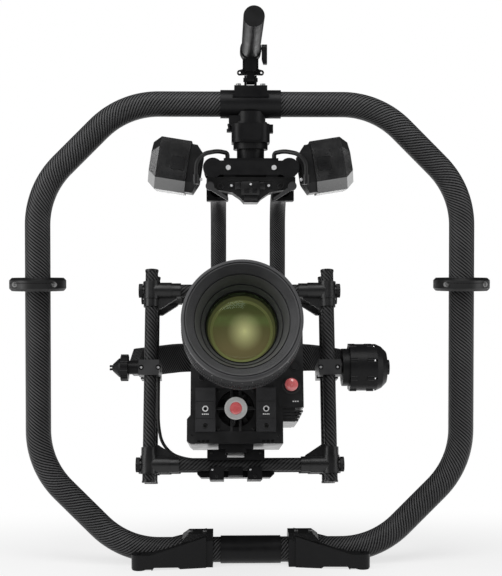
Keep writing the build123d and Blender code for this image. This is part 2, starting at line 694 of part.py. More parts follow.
def pivot_housing():
    """Eye at the left end of the yoke that carries the idle tilt shaft."""
    eye = rod((-146, 0, ROLL_Z), (-134.2, 0, ROLL_Z), 8.0)
    web = box((-146, -134.2), (0, 13), (ROLL_Z - 7.5, ROLL_Z + 7.5))
    return eye + web - rod((-150, 0, ROLL_Z), (-130, 0, ROLL_Z), 4.0 + RUNNING_FIT)


def tilt_motor_housing():
    """Can at the right end of the yoke, with eight lobes round it and a foot on the yoke."""
    inner = rod((TILT_MOTOR_X, 0, ROLL_Z), (118, 0, ROLL_Z), 22.5)
    can = rod((118, 0, ROLL_Z), (146, 0, ROLL_Z), TILT_MOTOR_R)
    foot_block = box((118, 143), (10, 31), (ROLL_Z - YOKE_END_HEIGHT / 2, ROLL_Z + YOKE_END_HEIGHT / 2))
    body = inner + can + foot_block
    for step in range(8):
        angle = math.radians(22.5 + 45 * step)
        y = (TILT_MOTOR_R - 1.5) * math.cos(angle)
        z = ROLL_Z + (TILT_MOTOR_R - 1.5) * math.sin(angle)
        body += rod((118, y, z), (126, y, z), 3.2)
        body += rod((138, y, z), (146, y, z), 3.2)
    body -= rod((112.5, 0, ROLL_Z), (147, 0, ROLL_Z), 20.0)
    return body - rod((100, 0, ROLL_Z), (120, 0, ROLL_Z), 9.0)


def tilt_motor_cap():
    """Domed end bell with a small flat disc in its middle."""
    rim = TILT_MOTOR_R
    profile = [(0, 0), (rim, 0), (rim, 4), (rim - 3, 10.5), (rim - 9, 16.5), (9, 17), (9, 20.5), (0, 20.5)]
    return turned(profile, Plane(origin=(146, 0, ROLL_Z), x_dir=(0, 1, 0), z_dir=(1, 0, 0)))


BELL_SCREW_R = TILT_MOTOR_R - 0.9
BELL_SCREW_ANGLES = [math.radians(22.5 + 45 * step) for step in range(8)]


def tilt_motor_screws():
    """Screws in the lobes round the end bell."""
    found = []
    for angle in BELL_SCREW_ANGLES:
        y = BELL_SCREW_R * math.cos(angle)
        z = ROLL_Z + BELL_SCREW_R * math.sin(angle)
        found.append(screw((146, y, z), (1, 0, 0), 1.5, 1.4, 0.8, 6.0))
    return group(found)


def lock_wheel():
    """Star wheel on the idle shaft's end."""
    body = rod((-155, 0, ROLL_Z), (-146.3, 0, ROLL_Z), 16.0)
    for step in range(10):
        angle = math.radians(36 * step)
        y = 17.6 * math.cos(angle)
        z = ROLL_Z + 17.6 * math.sin(angle)
        body -= rod((-156, y, z), (-146, y, z), 3.0)
    return body - rod((-158, 0, ROLL_Z), (-140, 0, ROLL_Z), 4.0 + RUNNING_FIT)


def lock_cone():
    """Cone that caps the lock wheel, with a slotted tip."""
    profile = [
        (4.05, 0), (12, 0), (11, 2.5), (4.5, 9.5), (3.2, 10), (3.2, 13.5), (0, 13.5), (0, 4.5), (4.05, 4.5),
    ]
    cone = turned(profile, Plane(origin=(-155, 0, ROLL_Z), x_dir=(0, -1, 0), z_dir=(-1, 0, 0)))
    return cone - box((-170, -165.5), (-5, 5), (ROLL_Z - 0.8, ROLL_Z + 0.8))


bell_screws = tilt_motor_screws()
bell_seats = group([
    rod((140, BELL_SCREW_R * math.cos(a), ROLL_Z + BELL_SCREW_R * math.sin(a)),
        (150, BELL_SCREW_R * math.cos(a), ROLL_Z + BELL_SCREW_R * math.sin(a)), 1.5)
    for a in BELL_SCREW_ANGLES
])
write("pan_tubes", group(both_sides(pan_tube)))
write("roll_carriage", roll_carriage())
write("roll_motor_housing", roll_motor_housing())
write("roll_motor_stator", rod((0, 160, ROLL_Z), (0, 186, ROLL_Z), 24.9, 9.0))
write("roll_rotor", roll_rotor())
write("yoke_bar", yoke_bar())
write("pivot_housing", pivot_housing())
write("tilt_motor_housing", tilt_motor_housing() - bell_screws)
write("tilt_motor_cap", tilt_motor_cap() - bell_seats)
write("tilt_motor_stator", rod((115, 0, ROLL_Z), (140, 0, ROLL_Z), 19.9, 8.0))
write("tilt_motor_screws", bell_screws)
write("lock_wheel", group([lock_wheel(), lock_cone()]))


# ================================================================ camera cage
# Cage and camera pieces are drawn level, with the tilt axis through the origin, and then pitched up.
def pitched(shape):
    """Place a level piece on the tilt axis at its rest pitch."""
    return Pos(0, 0, ROLL_Z) * Rot(-REST_PITCH, 0, 0) * shape


LEFT_X, RIGHT_X = UPRIGHT_XS
CORNERS = [(x, y, z) for x in UPRIGHT_XS for y in CAGE_ROWS for z in (TOP_BAR_Z, BOTTOM_BAR_Z)]


def upright(x, y, radius=CAGE_TUBE_R, bore=CAGE_TUBE_R - CAGE_TUBE_WALL):
    """Vertical cage tube."""
    return rod((x, y, UPRIGHT_BOTTOM), (x, y, UPRIGHT_TOP), radius, bore)


def crossbar(y, z, radius=CAGE_TUBE_R, bore=CAGE_TUBE_R - CAGE_TUBE_WALL):
    """Horizontal cage tube between two uprights."""
    gap = CAGE_TUBE_R + 0.7
    return rod((LEFT_X + gap, y, z), (RIGHT_X - gap, y, z), radius, bore)


def cage_tubes():
    """Four uprights and four crossbars."""
    uprights = [upright(x, y) for x in UPRIGHT_XS for y in CAGE_ROWS]
    crossbars = [crossbar(y, z) for y in CAGE_ROWS for z in (TOP_BAR_Z, BOTTOM_BAR_Z)]
    return group(uprights + crossbars)


def corner_bracket(x, y, z):
    """Sleeve on the crossbar, ring on the upright and a gusset in the corner between them."""
    inward = 1 if x < 0 else -1
    middle = -1 if z > 0 else 1
    body = rod((x, y, z), (x + inward * 24, y, z), 9.8)
    body += rod((x + inward * 24, y, z), (x + inward * 35, y, z), 9.0)
    body += rod((x, y, z - 10.5), (x, y, z + 10.5), 10.2)
    body += rod((x, y, z), (x - inward * 10.6, y, z), 6.0)
    gusset = [
        (x + inward * 4, z), (x + inward * 31, z + middle * 8), (x + inward * 29.5, z + middle * 10.5),
        (x + inward * 11, z + middle * 22.5), (x + inward * 4, z + middle * 22.5),
    ]
    body += prism_y(gusset, y - 2.6, y + 2.6)
    body += rod((x, y, z), (x, y, z + middle * 20), 9.2)
    body -= rod((x, y, UPRIGHT_BOTTOM - 1), (x, y, UPRIGHT_TOP + 1), CAGE_TUBE_R)
    return body - crossbar(y, z, CAGE_TUBE_R, 0)


def corner_knob(x, y, z):
    """Eight-sided clamp knob on the outside of a corner."""
    outward = -1 if x < 0 else 1
    seat = Plane(origin=(x + outward * 10.6, y, z), z_dir=(outward, 0, 0))
    knob = extrude(seat * RegularPolygon(8.6, 8), 4.4)
    return knob - extrude(seat.offset(2.4) * RegularPolygon(2.6, 6), 3)


def tube_end_caps():
    """Plugs in both ends of every upright."""
    caps = []
    for x in UPRIGHT_XS:
        for y in CAGE_ROWS:
            for z, out in ((UPRIGHT_TOP, 1), (UPRIGHT_BOTTOM, -1)):
                cap = rod((x, y, z), (x, y, z + out * 2.5), CAGE_TUBE_R + 0.5)
                cap += rod((x, y, z - out * 6), (x, y, z), CAGE_TUBE_R - CAGE_TUBE_WALL)
                caps.append(cap)
    return group(caps)


def tilt_clamp(low_x, high_x, tube_x):
    """Square block on the front and rear uprights at axis height, with clear holes beside the tubes."""
    block = box((low_x, high_x), (-29, 29), (-12.5, 5.5))
    for y in CAGE_ROWS:
        block -= upright(tube_x, y, CAGE_TUBE_R, 0)
    for hole_x in (tube_x - 10.3, tube_x + 9.6):
        block -= rod((hole_x, -30, -3.5), (hole_x, 30, -3.5), 1.8)
    slot = box((low_x - 1, high_x + 1), (-8, 8), (-13, -9))
    return block - slot


def tilt_clamps():
    """Both clamps with their shafts: idle on the left, driven by the motor on the right."""
    left = tilt_clamp(-132, -108, LEFT_X)
    left += rod((-158.5, 0, 0), (-132, 0, 0), 4.0)
    left += rod((-134, 0, 0), (-132, 0, 0), 6.5)
    right = tilt_clamp(80, 106, RIGHT_X)
    right += rod((106, 0, 0), (142, 0, 0), SHAFT_R)
    right += rod((106, 0, 0), (109.2, 0, 0), 8.0)
    return group([left, right])


def rail_clamp():
    """Saddle on the bottom crossbars with a slot for the camera plate, and jaws that clamp it from below."""
    middle = FAN_X
    saddle = box((middle - 33, middle + 33), (-32, 32), (-111.5, -99.5))
    saddle -= box((middle - 12.2, middle + 12.2), (-33, 33), (-105, -99))
    saddle -= box((middle - 10, middle + 10), (-33, 33), (-108.6, -104.5))
    base = prism_y(
        [(middle - 45, -126.5), (middle - 41, -130.5), (middle + 41, -130.5), (middle + 45, -126.5),
         (middle + 45, -124.5), (middle - 45, -124.5)],
        -12, 32,
    )
    base += box((middle - 8.5, middle + 8), (-29, 29), (-129.5, -120.5))
    for x in (middle - 22, middle + 22):
        base += box((x - 8.2, x + 8.2), (-32, 32), (-126, -119))
        base += box((x - 8.2, x + 8.2), (-32, -8), (-134, -119))
        base += box((x - 8.2, x + 8.2), (8, 32), (-134, -119))
    base -= box((middle - 60, middle + 60), (-11, 11), (-124.5, -112))
    parts = []
    for part in (saddle, base):
        for y in CAGE_ROWS:
            part = part - crossbar(y, BOTTOM_BAR_Z, CAGE_TUBE_R, 0)
        parts.append(part)
    return group(parts)


CAGE_LEAD_ROUTE = [
    (-110, 0, -9), (-110, 0, -40), (-109.6, 0, -68), (-105.5, 0, -89), (-93, 0, -103.5), (-74, 0, -109.2),
    (-51, 0, -109.8),
]

write("tilt_clamps", pitched(tilt_clamps()))
write("cage_tubes", pitched(cage_tubes()))
write("corner_brackets", pitched(group(corner_bracket(*corner) for corner in CORNERS)))
write("corner_knobs", pitched(group(corner_knob(*corner) for corner in CORNERS)))
write("tube_end_caps", pitched(tube_end_caps()))
write("rail_clamp", pitched(rail_clamp()))
write("cage_lead", pitched(lead("cage_lead", CAGE_LEAD_ROUTE, 1.9)))


# ================================================================ camera and lens
LENS_AXIS = Plane(origin=(LENS_X, 0, LENS_Z), x_dir=(1, 0, 0), z_dir=(0, -1, 0))
LENS_MOUNT = -CAMERA_FRONT_Y            # distance of the camera's front face ahead of the tilt axis
LENS_FRONT = LENS_MOUNT + LENS_LENGTH
GLASS_FRONT = LENS_FRONT - GLASS_RECESS
FOCUS_RING = (150.0, 194.0)             # start and end along the lens
IRIS_RING = (106.0, 126.0)
PANEL_BOTTOM, PANEL_TOP = -80.5, -30.3
RECESS = ((-41.0, 5.0), (-80.0, -30.5))


def dovetail_plate():
    """Plate under the camera with a tongue that slides in the rail clamp."""
    plate = box((FAN_X - 20, FAN_X + 20), (-44, 50), (-99.3, CAMERA_BOTTOM))
    return plate + box((FAN_X - 12, FAN_X + 12), (-44, 50), (-104, -99.3))


def camera_body():
    """Hollow camera housing with a lens port, a fan recess in front and cooling grooves on its sides."""
    depth = (CAMERA_FRONT_Y, CAMERA_REAR_Y)
    body = box((CAMERA_LEFT_X + 4, CAMERA_RIGHT_X), depth, (CAMERA_BOTTOM, CAMERA_TOP))
    flare = prism_y(
        [(CAMERA_LEFT_X + 5, -60), (CAMERA_LEFT_X, -66), (CAMERA_LEFT_X, CAMERA_BOTTOM + 3),
         (CAMERA_LEFT_X + 4, CAMERA_BOTTOM), (CAMERA_LEFT_X + 5, CAMERA_BOTTOM)],
        CAMERA_FRONT_Y, CAMERA_REAR_Y,
    )
    body += flare
    wall = 4.0
    rear_block = 32.0
    body -= box((CAMERA_LEFT_X + 4 + wall, CAMERA_RIGHT_X - wall), (-30, CAMERA_REAR_Y - rear_block),
                (CAMERA_BOTTOM + wall, CAMERA_TOP - wall))
    (recess_left, recess_right), (recess_low, recess_high) = RECESS
    body -= box((recess_left, recess_right), (CAMERA_FRONT_Y - 1, -34), (recess_low, recess_high))
    body -= rod((LENS_X, -60, LENS_Z), (LENS_X, -20, LENS_Z), 26.0)
    body -= rod((FAN_X, -40, FAN_Z), (FAN_X, -30.8, FAN_Z), 1.5 + RUNNING_FIT)
    for z in (-91, -87, -83):
        body -= box((CAMERA_LEFT_X - 1, CAMERA_LEFT_X + 2.5), (-40, CAMERA_REAR_Y + 1), (z, z + 1.8))
        body -= box((CAMERA_RIGHT_X - 2.5, CAMERA_RIGHT_X + 1), (-40, CAMERA_REAR_Y + 1), (z, z + 1.8))
    for z in (20, 27, 34, 41, 48):
        body -= box((-50, 15), (CAMERA_REAR_Y - 2, CAMERA_REAR_Y + 1), (z, z + 3))
    return body


def side_module():
    """Control module on the camera's side with stepped fins below it and a well for the record button."""
    left, right = CAMERA_RIGHT_X, MODULE_RIGHT_X
    front = CAMERA_FRONT_Y
    body = box((left, right), (front, 40), (-53, 44))
    body += box((left, left + 14), (front + 2, 38), (-69, -53))
    for step in range(4):
        top = -56 - step * 3.4
        body += box((left, right - 1 - 1.8 * step), (front + 1, 38), (top - 2.2, top))
    body += rod((BUTTON_X, front, BUTTON_Z), (BUTTON_X, front - 2.5, BUTTON_Z), 9.8)
    body += rod((50, front, -5), (50, front - 3.0, -5), 4.0)
    body -= rod((BUTTON_X, front - 3, BUTTON_Z), (BUTTON_X, front + 3.5, BUTTON_Z), 7.5 + RUNNING_FIT)
    body -= rod((BUTTON_X, front, BUTTON_Z), (BUTTON_X, front + 8, BUTTON_Z), 2.5 + RUNNING_FIT)
    return body - box((left + 4, right - 3), (-34, 37), (-48, 40))


def record_button():
    """Round domed push button on a stem."""
    front = CAMERA_FRONT_Y
    profile = [(0, -6), (2.5, -6), (2.5, -1.5), (7.5, -1.5), (7.5, 3.2), (6.4, 4.6), (3.6, 5.6), (0, 5.9)]
    axis = Plane(origin=(BUTTON_X, front, BUTTON_Z), x_dir=(1, 0, 0), z_dir=(0, -1, 0))
    return turned(profile, axis)


def front_panels():
    """Two raised panels beside the fan, each split in three by grooves, with a round socket below."""
    panels = []
    front = CAMERA_FRONT_Y
    for low_x, high_x in ((-64.4, -41.4), (5.4, 28.0)):
        panel = box((low_x, high_x), (front - 3.0, front), (PANEL_BOTTOM, PANEL_TOP))
        for z in (-46.0, -65.5):
            panel -= box((low_x - 1, high_x + 1), (front - 4, front - 2.3), (z - 0.35, z + 0.35))
        middle = (low_x + high_x) / 2
        panel -= rod((middle, front - 4, -74), (middle, front - 1, -74), 3.2)
        panel -= rod((middle, front - 4, -54.5), (middle, front - 1, -54.5), 2.0)
        panels.append(panel)
    return group(panels)


def fan_guard():
    """Round boss in front of the fan held by four struts."""
    (recess_left, recess_right), (recess_low, recess_high) = RECESS
    front = CAMERA_FRONT_Y
    guard = rod((FAN_X, front + 2, FAN_Z), (FAN_X, front - 3, FAN_Z), 13.0)
    guard -= rod((FAN_X, front - 2.2, FAN_Z), (FAN_X, front - 4, FAN_Z), 9.0)
    guard += box((recess_left, recess_right), (front, front + 2), (FAN_Z - 1.5, FAN_Z + 1.5))
    guard += box((FAN_X - 6.5, FAN_X - 3.5), (front, front + 2), (recess_low, recess_high))
    guard += box((FAN_X + 3.5, FAN_X + 6.5), (front, front + 2), (recess_low, recess_high))
    return guard


def cooling_fan():
    """Fan wheel with seven pitched blades on a short axle."""
    hub = rod((FAN_X, -44.5, FAN_Z), (FAN_X, -35.5, FAN_Z), 9.0)
    axle = rod((FAN_X, -36, FAN_Z), (FAN_X, -31.2, FAN_Z), 1.5)
    fan = hub + axle
    for step in range(7):
        turn = Pos(FAN_X, -40, FAN_Z) * Rot(0, step * 360 / 7, 0)
        fan += turn * (Pos(13.5, 0, 0) * Rot(40, 0, 0) * Box(12, 1.2, 8))
    return fan


def lens_barrel():
    """Lens body: stepped outside with seats for two rings, stepped funnel in front of the glass."""
    focus_start, focus_end = FOCUS_RING
    iris_start, iris_end = IRIS_RING
    gap = 0.25
    profile = [
        (26, LENS_MOUNT), (37, LENS_MOUNT), (37, 57), (33.5, 59), (33.5, 65), (43, 69), (46, 84), (52, 92),
        (57, 98), (57, iris_start - gap), (52, iris_start - gap), (52, iris_end + gap),
        (58.5, iris_end + gap),
        (61.5, 134), (61.5, focus_start - gap), (57, focus_start - gap), (57, focus_end + gap),
        (LENS_RIM_R, focus_end + gap), (LENS_RIM_R, LENS_FRONT - 1.5), (LENS_RIM_R - 1.5, LENS_FRONT),
        (56.0, LENS_FRONT), (55.4, LENS_FRONT - 2), (51.0, LENS_FRONT - 6), (50.4, LENS_FRONT - 10),
        (45.5, LENS_FRONT - 22), (44.6, LENS_FRONT - 28), (40.0, LENS_FRONT - 38), (39.2, LENS_FRONT - 42),
        (GLASS_R, GLASS_FRONT), (GLASS_R, GLASS_FRONT - 14), (34, GLASS_FRONT - 16), (52, 150), (52, 130),
        (48, 124), (48, 104), (38, 88), (26, 70),
    ]
    return turned(profile, LENS_AXIS)


def lens_ring(span, inner, outer, grip):
    """Plain ring with chamfered edges that turns on the lens barrel."""
    start, end = span
    profile = [(inner, start), (outer - grip, start), (outer, start + grip), (outer, end - grip),
               (outer - grip, end), (inner, end)]
    return turned(profile, LENS_AXIS)


def front_glass():
    """Front lens element, domed in front and hollowed behind."""
    rim, rise = GLASS_R, 9.0
    steps = 8
    seat = GLASS_FRONT - 10
    front = [(rim * (1 - k / steps), seat + rise * math.sin(math.pi / 2 * k / steps)) for k in range(steps)]
    profile = [(0, GLASS_FRONT - 12), (rim, GLASS_FRONT - 14)] + front + [(0, seat + rise)]
    return turned(profile, LENS_AXIS)


write("dovetail_plate", pitched(dovetail_plate()))
write("camera_body", pitched(group([camera_body(), side_module()])))
write("record_button", pitched(record_button()))
write("front_panels", pitched(front_panels()))
write("fan_guard", pitched(fan_guard()))
write("cooling_fan", pitched(cooling_fan()))
write("lens_barrel", pitched(lens_barrel()))
write("focus_ring", pitched(lens_ring(FOCUS_RING, 57 + RUNNING_FIT, LENS_BODY_R, 1.5)))
write("iris_ring", pitched(lens_ring(IRIS_RING, 52 + RUNNING_FIT, 58.5, 1.0)))
write("front_glass", pitched(front_glass()))
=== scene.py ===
import bpy
import json
import math
from mathutils import Matrix, Vector


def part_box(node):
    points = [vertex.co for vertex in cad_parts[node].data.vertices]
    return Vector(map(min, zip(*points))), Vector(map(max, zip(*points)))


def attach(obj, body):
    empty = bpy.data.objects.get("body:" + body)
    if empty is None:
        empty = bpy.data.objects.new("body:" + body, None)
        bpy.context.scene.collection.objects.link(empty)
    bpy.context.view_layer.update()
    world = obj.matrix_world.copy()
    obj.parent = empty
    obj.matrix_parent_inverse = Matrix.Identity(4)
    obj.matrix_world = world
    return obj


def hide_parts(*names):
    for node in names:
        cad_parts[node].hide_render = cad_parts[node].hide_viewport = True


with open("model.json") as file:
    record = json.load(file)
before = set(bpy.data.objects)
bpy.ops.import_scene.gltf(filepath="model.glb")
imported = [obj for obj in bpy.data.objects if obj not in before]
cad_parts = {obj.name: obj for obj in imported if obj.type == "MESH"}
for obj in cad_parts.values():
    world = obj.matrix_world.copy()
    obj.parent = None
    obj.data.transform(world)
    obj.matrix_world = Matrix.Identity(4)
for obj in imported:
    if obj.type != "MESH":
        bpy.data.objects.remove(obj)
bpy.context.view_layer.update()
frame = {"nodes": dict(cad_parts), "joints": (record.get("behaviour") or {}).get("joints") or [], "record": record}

# ------------------------------------------------------------------ places, in metres
TILT_JOINT = next(j for j in frame["joints"] if j["name"] == "tilt")
SLIDE_JOINT = next(j for j in frame["joints"] if j["name"] == "camera_slide")
TILT_POINT = Vector(TILT_JOINT["pos_m"])
LENS_DIRECTION = Vector(SLIDE_JOINT["axis"]).normalized()
REST_PITCH = math.atan2(LENS_DIRECTION.z, -LENS_DIRECTION.y)
PITCHED = Matrix.Translation(TILT_POINT) @ Matrix.Rotation(-REST_PITCH, 4, "X")
MM = 0.001


def local(x, y, z):
    """A point drawn level about the tilt axis, in millimetres, placed on the pitched cage in metres."""
    return PITCHED @ (Vector((x, y, z)) * MM)


# ------------------------------------------------------------------ camera, light and floor
CAMERA_AZIMUTH = math.radians(-1.2)
CAMERA_ELEVATION = math.radians(1.24)
CAMERA_DISTANCE = 1.28
CAMERA_AIM = Vector((0.0006, 0, 0.3315))
CAMERA_LENS = 66.7
AMBIENT = 0.09              # surroundings as the object sees them
AMBIENT_MIRRORED = 0.4      # share of that in reflections
FLOOR_BOUNCE = 0.22         # floor's glow as matt surfaces see it
FLOOR_MIRRORED = 0.5        # extra glow of the floor in reflections


def make_camera():
    """Camera straight in front, a little to the left and just above the middle of the ring."""
    azimuth, elevation, distance = CAMERA_AZIMUTH, CAMERA_ELEVATION, CAMERA_DISTANCE
    back = Vector((math.sin(azimuth) * math.cos(elevation), -math.cos(azimuth) * math.cos(elevation),
                   math.sin(elevation)))
    data = bpy.data.cameras.new("photo_camera")
    data.lens = CAMERA_LENS
    data.sensor_width = 36
    camera = bpy.data.objects.new("photo_camera", data)
    camera.location = CAMERA_AIM + back * distance
    camera.rotation_mode = "QUATERNION"
    camera.rotation_quaternion = (-back).to_track_quat("-Z", "Y")
    bpy.context.scene.collection.objects.link(camera)
    bpy.context.scene.camera = camera


def area_light(name, place, aim, size, power):
    """Soft rectangular light aimed at a point."""
    data = bpy.data.lights.new(name, "AREA")
    data.shape = "RECTANGLE"
    data.size, data.size_y = size
    data.energy = power
    light = bpy.data.objects.new(name, data)
    light.location = place
    light.rotation_mode = "QUATERNION"
    light.rotation_quaternion = (Vector(aim) - Vector(place)).to_track_quat("-Z", "Y")
    bpy.context.scene.collection.objects.link(light)


def by_ray(tree, kind, otherwise, when_true):
    """A number that is when_true for one kind of ray and otherwise for the rest."""
    ray = tree.nodes.new("ShaderNodeLightPath")
    pick = tree.nodes.new("ShaderNodeMapRange")
    pick.inputs["To Min"].default_value = otherwise
    pick.inputs["To Max"].default_value = when_true
    tree.links.new(ray.outputs[kind], pick.inputs["Value"])
    return pick.outputs["Result"]


def combined(tree, operation, first, second):
    """One math node over two outputs."""
    made = tree.nodes.new("ShaderNodeMath")
    made.operation = operation
    tree.links.new(first, made.inputs[0])
    tree.links.new(second, made.inputs[1])
    return made.outputs[0]


def make_stage():
    """White surroundings, soft boxes at both sides and above, and a pale floor that fades into white."""
    scene = bpy.context.scene
    scene.view_settings.view_transform = "Standard"
    world = bpy.data.worlds.new("studio")
    scene.world = world
    world.use_nodes = True
    tree = world.node_tree
    backdrop = tree.nodes["Background"]
    backdrop.inputs["Color"].default_value = (1, 1, 1, 1)
    strength = combined(tree, "MULTIPLY", by_ray(tree, "Is Camera Ray", AMBIENT, 1.0),
                        by_ray(tree, "Is Glossy Ray", 1.0, AMBIENT_MIRRORED))
    tree.links.new(strength, backdrop.inputs["Strength"])
    middle = (0, 0, 0.3)
    area_light("left_box", (-1.5, -0.7, 0.8), middle, (0.9, 1.3), 18)
    area_light("right_box", (1.5, -0.7, 0.7), middle, (0.8, 1.3), 8.5)
    area_light("top_box", (0, -0.8, 1.9), middle, (1.2, 0.9), 19)
    area_light("front_fill", (-0.3, -1.6, 1.7), middle, (0.8, 0.6), 5.0)
    mesh = bpy.data.meshes.new("floor")
    reach = 6.0
    mesh.from_pydata([(-reach, -reach, 0), (reach, -reach, 0), (reach, reach, 0), (-reach, reach, 0)], [],
                     [(0, 1, 2, 3)])
    floor = bpy.data.objects.new("floor", mesh)
    scene.collection.objects.link(floor)
    paint = bpy.data.materials.new("floor_paint")
    paint.use_nodes = True
    tree = paint.node_tree
    matte = tree.nodes["Principled BSDF"]
    matte.inputs["Base Color"].default_value = (0.86, 0.86, 0.86, 1)
    matte.inputs["Roughness"].default_value = 0.6
    glow = tree.nodes.new("ShaderNodeEmission")
    strength = combined(tree, "ADD", by_ray(tree, "Is Diffuse Ray", 1.0, FLOOR_BOUNCE),
                        by_ray(tree, "Is Glossy Ray", 0.0, FLOOR_MIRRORED))
    tree.links.new(strength, glow.inputs["Strength"])
    mix = tree.nodes.new("ShaderNodeMixShader")
    where = tree.nodes.new("ShaderNodeNewGeometry")
    distance = tree.nodes.new("ShaderNodeVectorMath")
    distance.operation = "LENGTH"
    fade = tree.nodes.new("ShaderNodeMapRange")
    fade.inputs["From Min"].default_value = 0.05
    fade.inputs["From Max"].default_value = 0.30
    fade.inputs["To Min"].default_value = 0.72
    fade.interpolation_type = "SMOOTHSTEP"
    stretch = tree.nodes.new("ShaderNodeVectorMath")
    stretch.operation = "MULTIPLY"
    stretch.inputs[1].default_value = (0.30, 1.0, 1.0)
    tree.links.new(where.outputs["Position"], stretch.inputs[0])
    tree.links.new(stretch.outputs[0], distance.inputs[0])
    tree.links.new(distance.outputs["Value"], fade.inputs["Value"])
    tree.links.new(fade.outputs["Result"], mix.inputs["Fac"])
    tree.links.new(matte.outputs[0], mix.inputs[1])
    tree.links.new(glow.outputs[0], mix.inputs[2])
    tree.links.new(mix.outputs[0], tree.nodes["Material Output"].inputs["Surface"])
    mesh.materials.append(paint)


make_camera()
make_stage()


# ------------------------------------------------------------------ materials
class Paint:
    """One node material, with short names for the nodes that the finishes share."""

    def __init__(self, name, **sockets):
        self.material = bpy.data.materials.new(name)
        self.material.use_nodes = True
        self.tree = self.material.node_tree
        self.surface = self.tree.nodes["Principled BSDF"]
        for key, value in sockets.items():
            self.surface.inputs[key.replace("_", " ")].default_value = value

    def node(self, kind, **settings):
        made = self.tree.nodes.new(kind)
        for key, value in settings.items():
            setattr(made, key, value)
        return made

    def link(self, source, target):
        self.tree.links.new(source, target)

    def feed(self, node, index, value):
        if isinstance(value, (int, float)):
            node.inputs[index].default_value = value
        else:
            self.link(value, node.inputs[index])

    def math(self, operation, first, second=0.0, third=0.0):
        made = self.node("ShaderNodeMath", operation=operation)
        for index, value in enumerate((first, second, third)):
            self.feed(made, index, value)
        return made.outputs[0]

    def noise(self, scale, detail=3.0, stretch=(1, 1, 1)):
        """Noise in object space, in cycles per metre."""
        place = self.node("ShaderNodeTexCoord")
        mapping = self.node("ShaderNodeMapping")
        mapping.inputs["Scale"].default_value = stretch
        texture = self.node("ShaderNodeTexNoise")
        texture.inputs["Scale"].default_value = scale
        texture.inputs["Detail"].default_value = detail
        self.link(place.outputs["Object"], mapping.inputs["Vector"])
        self.link(mapping.outputs["Vector"], texture.inputs["Vector"])
        return texture.outputs["Fac"]

    def between(self, factor, low, high, start=0.3, end=0.7):
        """A number between low and high, following factor."""
        made = self.node("ShaderNodeMapRange")
        made.inputs["From Min"].default_value = start
        made.inputs["From Max"].default_value = end
        made.inputs["To Min"].default_value = low
        made.inputs["To Max"].default_value = high
        self.link(factor, made.inputs["Value"])
        return made.outputs["Result"]

    def blend(self, factor, first, second):
        """A colour between two, following factor."""
        made = self.node("ShaderNodeMix", data_type="RGBA")
        self.feed(made, 0, factor)
        for index, colour in ((6, first), (7, second)):
            if isinstance(colour, tuple):
                made.inputs[index].default_value = (*colour, 1)
            else:
                self.link(colour, made.inputs[index])
        return made.outputs[2]

    def bump(self, height, depth, strength=1.0):
        made = self.node("ShaderNodeBump")
        made.inputs["Strength"].default_value = strength
        made.inputs["Distance"].default_value = depth
        self.link(height, made.inputs["Height"])
        self.link(made.outputs["Normal"], self.surface.inputs["Normal"])

    def colour(self, source):
        self.link(source, self.surface.inputs["Base Color"])

    def rough(self, source):
        self.link(source, self.surface.inputs["Roughness"])


def grained(name, dark, light, rough, grain, depth, metallic=0.0, blotch=60.0, **sockets):
    """Finish with fine grain in its bump and slow variation in its colour and roughness."""
    paint = Paint(name, Metallic=metallic, **sockets)
    fine = paint.noise(grain, 2.0)
    slow = paint.noise(blotch, 4.0)
    both = paint.math("MULTIPLY_ADD", fine, 0.45, paint.math("MULTIPLY", slow, 0.55))
    paint.colour(paint.blend(paint.between(both, 0.0, 1.0), dark, light))
    paint.rough(paint.between(slow, rough - 0.05, rough + 0.07))
    paint.bump(fine, depth)
    return paint.material


def twill(paint, along, across, tow, tow_across):
    """Two-by-two twill: returns the over-under mask and the height of the tows."""
    u = paint.math("DIVIDE", along, tow)
    v = paint.math("DIVIDE", across, tow_across)
    step = paint.math("ADD", paint.math("FLOOR", u), paint.math("FLOOR", v))
    phase = paint.math("FLOORED_MODULO", step, 4.0)
    over = paint.math("LESS_THAN", phase, 1.5)
    bulge_v = paint.math("SINE", paint.math("MULTIPLY", paint.math("FRACT", v), math.pi))
    bulge_u = paint.math("SINE", paint.math("MULTIPLY", paint.math("FRACT", u), math.pi))
    under = paint.math("SUBTRACT", 1.0, over)
    height = paint.math("ADD", paint.math("MULTIPLY", over, bulge_v), paint.math("MULTIPLY", under, bulge_u))
    return over, height


def finish_carbon(paint, over, height, painted_sheen_gain=1.0):
    """Shades a weave: dark tows one way and lighter, rougher tows the other. The lighter colour is a painted sheen
    in place of the fibres' reflection, and the crests are painted lighter as a highlight, under a thin clear coat.
    """
    slow = paint.noise(35.0, 3.0)
    # Painted highlight: colour rises with each tow's bulge, so the crests are lighter.
    lit = paint.math("MULTIPLY", height, paint.between(slow, 0.7, 1.0))
    dark = paint.blend(lit, (0.0015, 0.0015, 0.0016), (0.0045, 0.0045, 0.0048))
    low, high = 0.028 * painted_sheen_gain, 0.122 * painted_sheen_gain
    # Painted sheen: the over tows get a lighter colour in place of their reflection.
    light = paint.blend(lit, (low, low, low * 1.02), (high, high, high * 1.02))
    paint.colour(paint.blend(over, dark, light))
    paint.rough(paint.between(over, 0.36, 0.5, 0.0, 1.0))
    paint.bump(height, 0.00012, 0.6)
    return paint.material


def carbon_wrapped(name, tow, tow_across, painted_sheen_gain=1.0):
    """Carbon weave on a tube, laid out along the tube by its own map."""
    paint = Paint(name, Specular_IOR_Level=0.1)
    place = paint.node("ShaderNodeUVMap", uv_map="weave")
    split = paint.node("ShaderNodeSeparateXYZ")
    paint.link(place.outputs["UV"], split.inputs[0])
    over, height = twill(paint, split.outputs["X"], split.outputs["Y"], tow, tow_across)
    return finish_carbon(paint, over, height, painted_sheen_gain)


